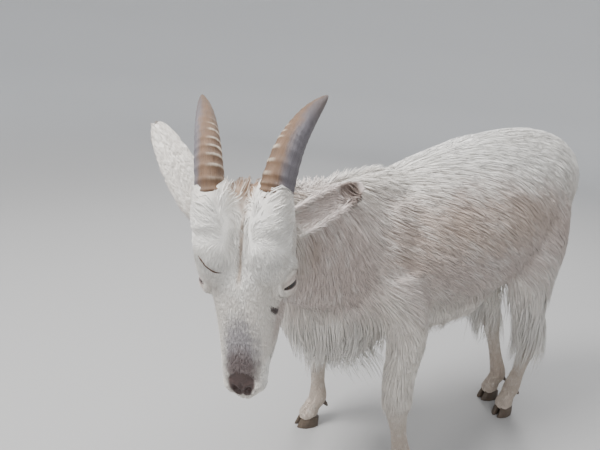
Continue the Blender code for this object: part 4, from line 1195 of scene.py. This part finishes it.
def grow_coat(name, points, faces, density, lie, fur, steps, is_head, draw, finish):
    """Grows a coat on triangles of the skin, in pieces of at most PIECE_TRIANGLES."""
    tree = tree_of(points, faces)
    roots, normals = roots_on(points, faces, density, draw)
    order = draw.permutation(len(roots))
    roots, normals = roots[order], normals[order]
    paths, facings, widths, own = grown_paths(tree, roots, normals, lie, fur, steps, draw)
    tones = markings_and_painted_light(roots, normals)
    # Pale clumps whitened at random: partly the coat's white hairs, partly painted highlight on the
    # clumps.
    pale = ramp(0.35, 0.55, tones.mean(axis=1))
    tones += (WHITE - tones) * (0.3 * pale * ramp(0.72, 0.95, own))[:, None]
    tones *= (0.95 + 0.08 * own)[:, None]
    bake = unwrapped(roots, region_of(roots, is_head))
    most = PIECE_TRIANGLES // (6 * (steps - 1) + 4)
    for k, start in enumerate(range(0, len(roots), most)):
        part = slice(start, start + most)
        made = tuft_arrays(paths[part], facings[part], widths[part], tones[part], bake[part], draw)
        mesh_piece(f"{name}_{k + 1}", *made[:2], finish, "coat", (), *made[2:])


# Nodes: numbers of a shader or a geometry tree are added and multiplied as Python values


class Value:
    """A socket that takes part in sums; each operation adds a Math node."""

    def __init__(self, nodes, socket):
        self.nodes = nodes
        self.socket = socket

    def combined(self, operation, first, second):
        return self.nodes.add("ShaderNodeMath", {"operation": operation}, {0: first, 1: second})

    def __add__(self, other):
        return self.combined("ADD", self, other)

    def __sub__(self, other):
        return self.combined("SUBTRACT", self, other)

    def __rsub__(self, other):
        return self.combined("SUBTRACT", other, self)

    def __mul__(self, other):
        return self.combined("MULTIPLY", self, other)

    def __pow__(self, other):
        return self.combined("POWER", self, other)

    __radd__ = __add__
    __rmul__ = __mul__


class Nodes:
    """A node tree under construction."""

    def __init__(self, tree):
        self.tree = tree

    def add(self, kind, settings, sockets, output=0):
        made = self.tree.nodes.new(kind)
        for name, value in settings.items():
            setattr(made, name, value)
        for name, value in sockets.items():
            self.set(made.inputs[name], value)
        return Value(self, made.outputs[output])

    def set(self, socket, value):
        if isinstance(value, Value):
            self.tree.links.new(value.socket, socket)
        else:
            socket.default_value = value

    def noise(self, place, scale, detail=3.0, roughness=0.6):
        sockets = {"Vector": place, "Scale": scale, "Detail": detail, "Roughness": roughness}
        return self.add("ShaderNodeTexNoise", {}, sockets, "Fac")

    def vector(self, operation, first, second, output="Vector"):
        sockets = {0: first, 1: second}
        return self.add("ShaderNodeVectorMath", {"operation": operation}, sockets, output)

    def ranged(self, value, low, high):
        """A smooth step from 0 at low to 1 at high."""
        smooth = {"interpolation_type": "SMOOTHSTEP"}
        sockets = {"Value": value, "From Min": low, "From Max": high}
        return self.add("ShaderNodeMapRange", smooth, sockets, "Result")


class Look(Nodes):
    """A material with one Principled shader."""

    def __init__(self, name, **uniform):
        self.material = bpy.data.materials.new(name)
        self.material.use_nodes = True
        super().__init__(self.material.node_tree)
        self.shader = self.tree.nodes["Principled BSDF"]
        for socket, value in uniform.items():
            self.shader.inputs[socket.replace("_", " ")].default_value = value

    def attribute(self, name, output="Color"):
        return self.add("ShaderNodeAttribute", {"attribute_name": name}, {}, output)

    def place(self):
        return self.add("ShaderNodeTexCoord", {}, {}, "Object")

    def uv(self, name):
        return self.add("ShaderNodeUVMap", {"uv_map": name}, {})

    def mixed(self, share, first, second, blend="MIX"):
        settings = {"data_type": "RGBA", "blend_type": blend}
        return self.add("ShaderNodeMix", settings, {0: share, 6: first, 7: second}, 2)

    def shaded(self, colour, value):
        """A colour with its lightness multiplied by a value."""
        return self.mixed(1.0, colour, value, "MULTIPLY")

    def finish(self, colour, roughness=None, height=None, strength=0.5, distance=0.001):
        self.set(self.shader.inputs["Base Color"], colour)
        if roughness is not None:
            self.set(self.shader.inputs["Roughness"], roughness)
        if height is not None:
            sockets = {"Strength": strength, "Distance": distance, "Height": height}
            bump = self.add("ShaderNodeBump", {}, sockets, "Normal")
            self.set(self.shader.inputs["Normal"], bump)
        return self.material


def add_brow_line(points, faces, draw, finish):
    """A few dark hairs laid end to end along the line over the right eye."""
    tree = tree_of(points, faces)
    line = from_head(between(BROW_LINE, 12))
    forward = -HEAD_TURNER[:, 1]
    paths, facings = [], []
    for start in range(0, len(line) - 9, 2):
        for _ in range(2):
            path = line[start : start + 9 : 2] + draw.normal(0, 0.0003, 3)
            hits = [tree.ray_cast(Vector(p + forward * 0.03), Vector(-forward)) for p in path]
            if all(hit[0] is not None for hit in hits):
                paths.append([np.array(hit[0] + hit[1] * 0.0016) for hit in hits])
                facings.append([np.array(hit[1]) for hit in hits])
    paths, facings = np.array(paths), np.array(facings)
    tones = np.tile(BROWN, (len(paths), 1))
    bake = unwrapped(paths[:, 0], np.ones(len(paths), int))
    widths = np.full(len(paths), 0.0011)
    points, faces, tones, uvs = tuft_arrays(paths, facings, widths, tones, bake, draw)
    mesh_piece("coat_brow_line", points, faces, finish, "coat", (), tones, uvs)


# Materials


def coat_material():
    """Hair: its tone from the markings with their painted highlight and shade, fine streaks along
    each tuft, soft sheen.
    """
    look = Look("coat_hair", Sheen_Weight=0.15, Sheen_Roughness=0.4, Specular_IOR_Level=0.3)
    streaks = look.noise(look.vector("MULTIPLY", look.uv("Strand"), (7.0, 0.6, 1.0)), 1.0)
    colour = look.shaded(look.attribute("tone"), 0.78 + 0.4 * streaks)
    return look.finish(colour, 0.45 + 0.3 * streaks, streaks, 0.5, 0.0005)


def skin_material():
    """Short flat fur over skin, with a bare dark nose and lips where the mark says so."""
    look = Look("skin", Specular_IOR_Level=0.35)
    bare = look.attribute("tone", "Alpha")
    place = look.place()
    hairs = look.noise(look.vector("MULTIPLY", place, (900, 900, 220)), 1.0)
    pores = look.add("ShaderNodeTexVoronoi", {}, {"Vector": place, "Scale": 620.0})
    colour = look.shaded(look.attribute("tone"), 0.7 + 0.48 * hairs)
    height = hairs * (1 - bare) + pores * bare
    return look.finish(colour, 0.78 - 0.36 * bare, height, 0.6, 0.0008)


def horn_material():
    """Dull horn: brown in front and inside, grey outside, with fine fibres, and pale bands painted
    on its ridges as highlights.
    """
    look = Look("horn_layers")
    share = look.attribute("share", "Fac")
    front = look.attribute("front", "Fac")
    inner = look.attribute("inner", "Fac")
    fine = look.add("ShaderNodeCombineXYZ", {}, {0: front * 16.0, 1: inner * 16.0, 2: share * 3.0})
    broad = look.add("ShaderNodeCombineXYZ", {}, {0: front * 1.6, 1: inner * 1.6, 2: share * 9.0})
    fibres = look.noise(fine, 1.0, 5.0, 0.7)
    blotches = look.noise(broad, 1.0, 4.0, 0.6)
    warm = look.ranged(front * 0.55 + inner * 0.75 + (blotches - 0.5) * 0.9, -0.1, 0.55)
    warm = warm * look.ranged(share, 0.04, 0.22)
    colour = look.mixed(warm, tone4(0.46, 0.44, 0.46), tone4(0.45, 0.345, 0.26))
    # Painted highlight: cream bands on the ridges of the middle of the horn, on its inner and front
    # faces, where the ridges catch the light.
    ridge_highlight = look.ranged(look.attribute("ridge", "Fac") + blotches - 0.5, 0.3, 0.8)
    ridge_highlight = ridge_highlight * look.ranged(share, 0.2, 0.4)
    ridge_highlight = ridge_highlight * (1 - look.ranged(share, 0.55, 0.75))
    ridge_highlight = ridge_highlight * look.ranged(inner + 0.3 * front, 0.35, 0.85)
    colour = look.mixed(ridge_highlight * 0.9, colour, tone4(0.93, 0.88, 0.8))
    colour = look.mixed(look.ranged(share, 0.6, 0.95) * 0.55, colour, tone4(0.4, 0.32, 0.26))
    colour = look.shaded(colour, 0.4 + 1.0 * fibres)
    colour = look.shaded(colour, 0.45 + 1.0 * blotches)
    return look.finish(colour, 0.5 + 0.3 * blotches, fibres, 0.9, 0.0016)


def tone4(red, green, blue):
    """An sRGB colour as a socket takes it."""
    return (*linear((red, green, blue)), 1)


def hoof_material():
    look = Look("hoof_horn")
    place = look.place()
    rings = look.noise(look.vector("MULTIPLY", place, (40, 40, 420)), 1.0)
    dust = look.noise(place, 90.0, 5.0, 0.65)
    colour = look.mixed(dust, tone4(0.17, 0.14, 0.12), tone4(0.46, 0.4, 0.34))
    colour = look.shaded(colour, 0.7 + 0.5 * rings)
    return look.finish(colour, 0.45 + 0.3 * dust, rings, 0.5, 0.0012)


def eye_material():
    look = Look("eye_ball", Roughness=0.18, Coat_Weight=0.35, Coat_Roughness=0.05)
    flecks = look.noise(look.place(), 1400.0)
    return look.finish(look.shaded(look.attribute("tone"), 0.6 + 0.8 * flecks))


def floor_material():
    look = Look("studio_floor", Roughness=0.85)
    reach = look.vector("LENGTH", look.place(), (0, 0, 0), "Value")
    # Painted light: the dish is painted lighter far out, on its rising wall, where less light
    # reaches it.
    painted_far_light = look.ranged(reach, 2.0, 6.0)
    return look.finish(look.mixed(painted_far_light, tone4(0.64, 0.635, 0.63), tone4(0.88, 0.88, 0.88)))


# Eyes and lids

BALL_RINGS = 40
BALL_ROUND = 64
# The ball round its iris, the iris, its dark rim and the pupil
EYE_COLOURS = ((0.2, 0.16, 0.14), (0.26, 0.17, 0.08), (0.08, 0.055, 0.04), (0.01, 0.008, 0.01))


def ring_faces(rings, around):
    """Triangles between rings of the same number of corners."""
    found = []
    for k in range(rings - 1):
        for i in range(around):
            j = (i + 1) % around
            a, b, c, d = k * around + i, k * around + j, (k + 1) * around + j, (k + 1) * around + i
            found += [(a, b, c), (a, c, d)]
    return found


def add_eye(side, finish):
    """The ball, with an amber iris and a level slot for its pupil."""
    centre, look, slit, across = eye_frame(side)
    points, tones = [], []
    white, amber, rim, black = (linear(colour) for colour in EYE_COLOURS)
    for tilt in np.linspace(0.02, math.pi - 0.02, BALL_RINGS):
        for turn in np.linspace(0, 2 * math.pi, BALL_ROUND, endpoint=False):
            run, rise = math.sin(tilt) * math.cos(turn), math.sin(tilt) * math.sin(turn)
            way = look * math.cos(tilt) + slit * run + across * rise
            points.append(centre + way * EYE_RADIUS)
            reach = math.hypot(run, rise) if tilt < math.pi / 2 else 9
            slot = (run / 0.42) ** 4 + (rise / 0.15) ** 4
            iris = amber if reach < 0.52 else rim if reach < 0.66 else white
            tones.append(black if slot < 1 else iris)
    faces = ring_faces(BALL_RINGS, BALL_ROUND)
    points += [centre + look * EYE_RADIUS, centre - look * EYE_RADIUS]
    tones += [black, white]
    last = (BALL_RINGS - 1) * BALL_ROUND
    for i in range(BALL_ROUND):
        j = (i + 1) % BALL_ROUND
        faces.append((len(points) - 2, j, i))
        faces.append((len(points) - 1, last + i, last + j))
    faces = outward(np.array(points), np.array(faces))
    name = SIDE_NAMES[side]
    points = from_head(points)
    mesh_piece("eye_ball_" + name, points, faces, finish, "eye", ["eye_" + name], np.array(tones))


def outward(points, faces):
    """Turns every face round if the shape holds a negative volume."""
    a, b, c = (points[faces[:, k]] - points.mean(axis=0) for k in range(3))
    return faces if np.sum(a * np.cross(b, c)) > 0 else faces[:, ::-1]


# The lid from its edge outward: share of the way to the skin round the eye, rise over the ball
LID_PROFILE = (
    (0.0, -0.0002),
    (0.0, 0.0006),
    (0.03, 0.0013),
    (0.08, 0.0017),
    (0.15, 0.0017),
    (0.21, 0.0014),
    (0.28, 0.0018),
    (0.38, 0.0024),
    (0.5, 0.0026),
    (0.64, 0.0028),
    (0.8, 0.003),
    (1.0, 0.002),
)
LID_ROUND = 72
LID_EDGE_TILT = math.radians(74)
SLIT_HALF_LENGTH = 0.0112
SLIT_HALF_HEIGHT = 0.0024


def lid_arrays(side, skin_tree):
    """Furred lids over the ball: a narrow slit, a fold round it, and an edge on the skin."""
    centre, look, slit, across = eye_frame(side)
    start = Vector(from_head(centre[None])[0])
    points, rims = [], []
    for share, rise in LID_PROFILE:
        for i in range(LID_ROUND):
            turn = 2 * math.pi * i / LID_ROUND
            run, lift = math.cos(turn), math.sin(turn)
            bow = SLIT_HALF_HEIGHT * (1.15 if lift > 0 else 0.85)
            out = np.array((run * SLIT_HALF_LENGTH, lift * bow))
            inner = math.asin(math.hypot(*out) / (EYE_RADIUS + 0.001))
            tilt = inner + (LID_EDGE_TILT - inner) * share
            round_out = min(1, share * 1.6)
            level = out[0] * (1 - round_out) + run * SLIT_HALF_LENGTH * round_out
            upward = out[1] * (1 - round_out) + lift * SLIT_HALF_LENGTH * round_out
            way_out = slit * level + across * upward
            way = look * math.cos(tilt) + unit(way_out) * math.sin(tilt)
            reach = EYE_RADIUS + rise
            hit = skin_tree.ray_cast(start, Vector(HEAD_TURNER @ way))[0]
            if hit is not None:
                skin_reach = (hit - start).length - 0.0004 - 0.0012 * ramp(0.85, 1.0, share)
                skin_reach = min(max(skin_reach, EYE_RADIUS + 0.001), EYE_RADIUS + 0.009)
                reach += (skin_reach - reach) * ramp(0.12, 0.62, share)
            points.append(centre + way * reach)
            rims.append(float(ramp(0.1, 0.0, share)))
    faces = np.array(ring_faces(len(LID_PROFILE), LID_ROUND))
    if side == RIGHT:
        faces = faces[:, ::-1]
    return from_head(np.array(points)), faces, np.array(rims)


# Horns and hooves

HORN_RINGS = 170
HORN_SIDES = 40
RIDGE_HEIGHT = 0.0016
RIDGES = 19.0
CLAW_INSET = 0.0002
SOLE_BAND = 0.0008


def horn_tree(finish):
    """Sweeps a path of edges into a tapering horn with growth ridges, strongest round its front."""
    tree = bpy.data.node_groups.new("curved_horn", "GeometryNodeTree")
    face = tree.interface
    face.new_socket("Path", in_out="INPUT", socket_type="NodeSocketGeometry")
    for name in ("Half width", "Half depth", "Ridge height", "Ridges", "Seed"):
        face.new_socket(name, in_out="INPUT", socket_type="NodeSocketFloat")
    for name in ("Front", "Inner"):
        face.new_socket(name, in_out="INPUT", socket_type="NodeSocketVector")
    face.new_socket("Horn", in_out="OUTPUT", socket_type="NodeSocketGeometry")
    nodes = Nodes(tree)
    group = tree.nodes.new("NodeGroupInput")
    given = {socket.name: Value(nodes, socket) for socket in group.outputs if socket.name}
    curve = nodes.add("GeometryNodeMeshToCurve", {}, {"Mesh": given["Path"]})
    curve = nodes.add("GeometryNodeResampleCurve", {}, {"Curve": curve, "Count": HORN_RINGS})
    stored = {
        "centre": ("FLOAT_VECTOR", nodes.add("GeometryNodeInputPosition", {}, {})),
        "share": ("FLOAT", nodes.add("GeometryNodeSplineParameter", {}, {}, "Factor")),
    }
    for name, (kind, value) in stored.items():
        curve = kept(nodes, curve, name, kind, value)
    sockets = {"Resolution": HORN_SIDES, "Radius": 0.004}
    circle = nodes.add("GeometryNodeCurvePrimitiveCircle", {}, sockets)
    sockets = {"Curve": curve, "Profile Curve": circle, "Fill Caps": True}
    horn = nodes.add("GeometryNodeCurveToMesh", {}, sockets)
    centre, share = (
        nodes.add("GeometryNodeInputNamedAttribute", {"data_type": kind}, {"Name": name})
        for name, (kind, _) in stored.items()
    )
    out = nodes.vector("SUBTRACT", nodes.add("GeometryNodeInputPosition", {}, {}), centre)
    out = nodes.vector("NORMALIZE", out, (0, 0, 0))
    front = nodes.vector("DOT_PRODUCT", out, given["Front"], "Value")
    inner = nodes.vector("DOT_PRODUCT", out, given["Inner"], "Value")
    facing = nodes.add("ShaderNodeMath", {"operation": "MAXIMUM"}, {0: front, 1: 0.0})
    taper = horn_taper(share) * (1 - (0.994 * share) ** 12.0) ** 0.5
    sockets = {"Vector": centre, "W": given["Seed"], "Scale": 26.0}
    wander = nodes.add("ShaderNodeTexNoise", {"noise_dimensions": "4D"}, sockets, "Fac")
    phase = 2 * math.pi * given["Ridges"] * share**0.85 + 14.0 * wander
    ridge = 0.5 + 0.5 * nodes.add("ShaderNodeMath", {"operation": "SINE"}, {0: phase})
    ridge = ridge**1.6 * (1 - 0.75 * share)
    reach = given["Half width"] + (given["Half depth"] - given["Half width"]) * front**2.0
    reach = reach * (1 + 0.09 * facing**4.0) * taper
    reach = reach + given["Ridge height"] * ridge * taper * (0.35 + 0.65 * facing)
    place = nodes.add("ShaderNodeCombineXYZ", {}, {0: reach, 1: reach, 2: reach})
    place = nodes.vector("ADD", centre, nodes.vector("MULTIPLY", out, place))
    for name, value in (("front", front), ("inner", inner), ("ridge", ridge)):
        horn = kept(nodes, horn, name, "FLOAT", value)
    horn = nodes.add("GeometryNodeSetPosition", {}, {"Geometry": horn, "Position": place})
    horn = nodes.add("GeometryNodeSetShadeSmooth", {}, {0: horn})
    horn = nodes.add("GeometryNodeRealizeInstances", {}, {0: horn})
    horn = nodes.add("GeometryNodeSetMaterial", {}, {"Geometry": horn, "Material": finish})
    tree.links.new(horn.socket, tree.nodes.new("NodeGroupOutput").inputs[0])
    return tree


def kept(nodes, geometry, name, kind, value):
    """The geometry with a value stored on its points under a name."""
    sockets = {"Geometry": geometry, "Name": name, "Value": value}
    return nodes.add("GeometryNodeStoreNamedAttribute", {"data_type": kind}, sockets)


def add_horn(side, tree):
    """A horn along its path in the head's frame, carried to where the head stands."""
    path = between(HORN[side], HORN_STEPS)
    mesh = bpy.data.meshes.new("horn_path")
    mesh.from_pydata(path.tolist(), [(i, i + 1) for i in range(len(path) - 1)], [])
    made = placed("horn_path", mesh)
    step = made.modifiers.new("Horn", "NODES")
    step.node_group = tree
    values = {
        "Half width": HORN_HALF_WIDTH,
        "Half depth": HORN_HALF_DEPTH,
        "Ridge height": RIDGE_HEIGHT,
        "Ridges": RIDGES,
        "Seed": 3.0 + side,
        "Front": tuple(unit((-side * 0.3, -1.0, -0.1))),
        "Inner": (-float(side), 0.0, 0.0),
    }
    for item in tree.interface.items_tree:
        if item.name in values:
            step[item.identifier] = values[item.name]
    shape = evaluated(made)
    bpy.data.objects.remove(made)
    shape.transform(Matrix.Translation(SHIFT) @ HEAD)
    shape.attributes.remove(shape.attributes["centre"])
    points, faces = arrays_of(shape)
    if (outward(points, faces) != faces).any():
        shape.flip_normals()
    name = "horn_" + SIDE_NAMES[side]
    made = placed("curved_" + name, shape)
    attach(made, "root")
    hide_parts(name)


def add_smooth_copy(name, source, voxel, finish):
    """A smoothed copy of a solid, a little softer at its edges."""
    low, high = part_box(source)
    shape = bmesh.new()
    shape.from_mesh(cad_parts[source].data)
    bmesh.ops.remove_doubles(shape, verts=shape.verts, dist=1e-5)
    points, faces = remeshed(shape, voxel, 3, lambda p: np.ones(len(p)))
    points = np.clip(points, np.array(low) + CLAW_INSET, np.array(high) - CLAW_INSET)
    points[points[:, 2] < SOLE_BAND, 2] = CLAW_INSET
    mesh_piece(name, points - SHIFT, faces, finish, "hoof", [source])


# Camera, lights and floor

# The photo's camera, fitted to the goat's frame
CAMERA_PLACE = (0.655, -0.698, 0.764)
CAMERA_TURN, CAMERA_LIFT, CAMERA_ROLL = 57.8, 17.7, 5.9
SENSOR_WIDTH = 36
LENS_LENGTH = 30
FLOOR_SIDES = 96
# The floor's rings: how far out and how high
FLOOR_PROFILE = (
    (0.0001, 0), (1.5, 0), (3.0, 0), (4.5, 0.02), (5.5, 0.12),
    (6.5, 0.45), (7.3, 1.2), (7.8, 2.4), (8.0, 4.0),
)
WORLD_COLOUR = (0.8, 0.84, 0.9, 1)
WORLD_STRENGTH = 0.22
# Each light's place, aim, width, power and colour
LIGHTS = {
    "sky": ((0, 0, 6.0), (0, 0, 0), 7.0, 400, (0.95, 0.97, 1.0)),
    "key": ((-0.2, -1.5, 2.5), (0, -0.1, 0.45), 0.9, 105, (1, 1, 1)),
    "fill": ((2.2, -1.6, 1.3), (0, -0.1, 0.4), 2.0, 24, (1, 1, 1)),
    "rim": ((-1.6, 1.8, 2.0), (0, 0, 0.5), 1.2, 40, (1, 1, 1)),
}


def add_camera():
    turn, lift, roll = (math.radians(angle) for angle in (CAMERA_TURN, CAMERA_LIFT, CAMERA_ROLL))
    out = math.cos(lift)
    back = np.array((math.sin(turn) * out, -math.cos(turn) * out, math.sin(lift)))
    level = np.array((math.cos(turn), math.sin(turn), 0))
    upright = np.cross(back, level)
    right = math.cos(roll) * level + math.sin(roll) * upright
    up = -math.sin(roll) * level + math.cos(roll) * upright
    place = np.array(CAMERA_PLACE) + SHIFT
    data = bpy.data.cameras.new("camera")
    data.sensor_width = SENSOR_WIDTH
    data.lens = LENS_LENGTH
    camera = placed("camera", data)
    rows = np.column_stack([right, up, back, place]).tolist()
    camera.matrix_world = Matrix([*rows, (0, 0, 0, 1)])
    bpy.context.scene.camera = camera


def add_light(name, place, aim, size, power, colour):
    data = bpy.data.lights.new(name, "AREA")
    data.shape = "DISK"
    data.size = size
    data.energy = power
    data.color = colour
    way = Vector(aim) - Vector(place)
    turn = way.to_track_quat("-Z", "Y").to_matrix().to_4x4()
    placed(name, data).matrix_world = Matrix.Translation(place) @ turn


def add_stage():
    """A pale dish: flat under the goat, rising softly far behind it."""
    points = []
    for reach, high in FLOOR_PROFILE:
        for i in range(FLOOR_SIDES):
            turn = 2 * math.pi * i / FLOOR_SIDES
            points.append((reach * math.cos(turn), reach * math.sin(turn), high))
    mesh = bpy.data.meshes.new("studio_floor")
    mesh.from_pydata(points, [], ring_faces(len(FLOOR_PROFILE), FLOOR_SIDES))
    mesh.shade_smooth()
    mesh.materials.append(floor_material())
    floor = placed("studio_floor", mesh)
    world = bpy.data.worlds.new("studio")
    world.use_nodes = True
    background = world.node_tree.nodes["Background"].inputs
    background["Color"].default_value = WORLD_COLOUR
    background["Strength"].default_value = WORLD_STRENGTH
    bpy.context.scene.world = world
    for name, settings in LIGHTS.items():
        add_light(name, *settings)


# Building

FLESH = ["head", "neck", "torso", "tail"]
LIMBS = ("ear_", "thigh_", "forearm_", "shin_front_", "shin_hind_")
FLESH += [part + SIDE_NAMES[side] for side in SIDES for part in LIMBS]
COAT_SEED = 23
# Tufts whose length is over this are in the pieces of long coat
LONG_HAIR = 0.018
# How many tufts lie over each other, and the share of them on the legs' short coat
BODY_COVER = 4.4
HEAD_COVER = 2.4
LEG_COVER_SHARE = 0.55
CLAW_VOXEL = 0.0012
DEWCLAW_VOXEL = 0.0008


def build_head():
    """The head with its lids: points, triangles, share of lid edge, and count without the lids."""
    points, faces = remeshed(head_forms(), HEAD_VOXEL, HEAD_PASSES, head_softness)
    points = sculpt_face(points, faces)
    tree = tree_of(points, faces)
    points, faces = thinned(hollow_eyes(points), faces, HEAD_TRIANGLES)
    skin_count = len(faces)
    rims = np.zeros(len(points))
    for side in SIDES:
        lid_points, lid_faces, lid_rims = lid_arrays(side, tree)
        faces = np.concatenate([faces, lid_faces + len(points)])
        points = np.concatenate([points, lid_points])
        rims = np.concatenate([rims, lid_rims])
    return points, faces, rims, skin_count


def add_skin(head, body, finish):
    """One skin of the two surfaces, the head's neck running inside the body's."""
    tones, uvs = [], []
    for points, faces, is_head in ((*head[:2], True), (*body, False)):
        # Painted shade: the skin is painted a tenth darker than the coat, so the gaps between tufts
        # read as soft shade.
        colour = markings_and_painted_light(points, corner_ways(points, faces)) * 0.9
        bare = np.maximum(leather_share(points), head[2]) if is_head else np.zeros(len(points))
        colour = colour + (LEATHER - colour) * bare[:, None]
        tones.append(np.column_stack([colour, bare]))
        uvs.append(skin_uvs(points, faces, is_head))
    points = np.concatenate([head[0], body[0]])
    faces = np.concatenate([head[1], body[1] + len(head[0])])
    uvs = {"OFBake": np.concatenate(uvs)}
    mesh_piece("goat_skin", points, faces, finish, "coat", FLESH, np.concatenate(tones), uvs)


def bare_inside(density, centres, chosen, tree, depth):
    """Takes the tufts off the chosen faces that lie under another surface."""
    for i in np.nonzero(chosen)[0]:
        near, normal, _, _ = tree.find_nearest(centres[i])
        if (Vector(centres[i]) - near).dot(normal) < depth:
            density[i] = 0


def body_density(points, faces, head_tree):
    """Tufts per square metre on each face of the body: more where they are short."""
    centres, ways = face_places(points, faces)
    length, width, _, _, _ = body_fur(centres, ways)
    density = BODY_COVER / (length * width)
    local = to_head(centres)
    near_head = (np.abs(local[:, 0]) < 0.1) & (local[:, 1] < 0.17) & (centres[:, 1] < -0.25)
    bare_inside(density, centres, near_head, head_tree, 0.0005)
    density[centres[:, 2] < CLAW_HEIGHT] = 0
    return density


def head_density(points, faces, rims, skin_count, body_tree):
    """The same for the head, with none on the nose pad, round the eye balls or inside the neck."""
    centres, ways = face_places(points, faces)
    length, width, _, _, _ = head_fur(centres, ways)
    density = HEAD_COVER / (length * width)
    local = to_head(centres)
    density *= 1 - ramp(0.25, 0.6, leather_share(centres))
    density[local[:, 1] > 0.16] = 0
    of_skin = np.arange(len(faces)) < skin_count
    density[rims[faces].max(axis=1) > 0.02] = 0
    for side in SIDES:
        _, reach, cosine = from_eye(local, side)
        density[of_skin & (cosine > 0.42) & (reach < 0.022)] = 0
        inner = (ways @ HEAD_TURNER) @ unit(EAR[side][1]) > 0.1
        density[on_ear(local, side, *EAR_ZONE)[0] & inner] *= 0.8
    bare_inside(density, centres, (local[:, 1] > 0.08) & (density > 0), body_tree, -0.002)
    return density


def build():
    skin, coat = skin_material(), coat_material()
    head = build_head()
    body = thinned(*remeshed(body_forms(), BODY_VOXEL, 9, body_softness), BODY_TRIANGLES)
    add_skin(head, body, skin)
    draw = np.random.default_rng(COAT_SEED)
    density = body_density(*body, tree_of(*head[:2])) * COAT_SHARE
    first_corners = corner_ways(*body)[body[1][:, 0]]
    long_ones = body_fur(face_places(*body)[0], first_corners)[0] > LONG_HAIR
    grow_coat("coat_long", *body, density * long_ones, body_lie, body_fur, 4, False, draw, coat)
    short_ones = density * ~long_ones * LEG_COVER_SHARE
    grow_coat("coat_legs", *body, short_ones, body_lie, body_fur, 2, False, draw, coat)
    density = head_density(*head, tree_of(*body)) * COAT_SHARE
    grow_coat("coat_head", *head[:2], density, head_lie, head_fur, 3, True, draw, coat)
    add_brow_line(*head[:2], draw, coat)
    tree = horn_tree(horn_material())
    hoof, eye = hoof_material(), eye_material()
    for side in SIDES:
        add_horn(side, tree)
        add_eye(side, eye)
    for kind in ("front", "hind"):
        for side in SIDES:
            for place in ("inner", "outer"):
                end = f"{kind}_{SIDE_NAMES[side]}_{place}"
                add_smooth_copy("hoof_" + end, "claw_" + end, CLAW_VOXEL, hoof)
                add_smooth_copy("spur_" + end, "dewclaw_" + end, DEWCLAW_VOXEL, hoof)


add_camera()
add_stage()
build()
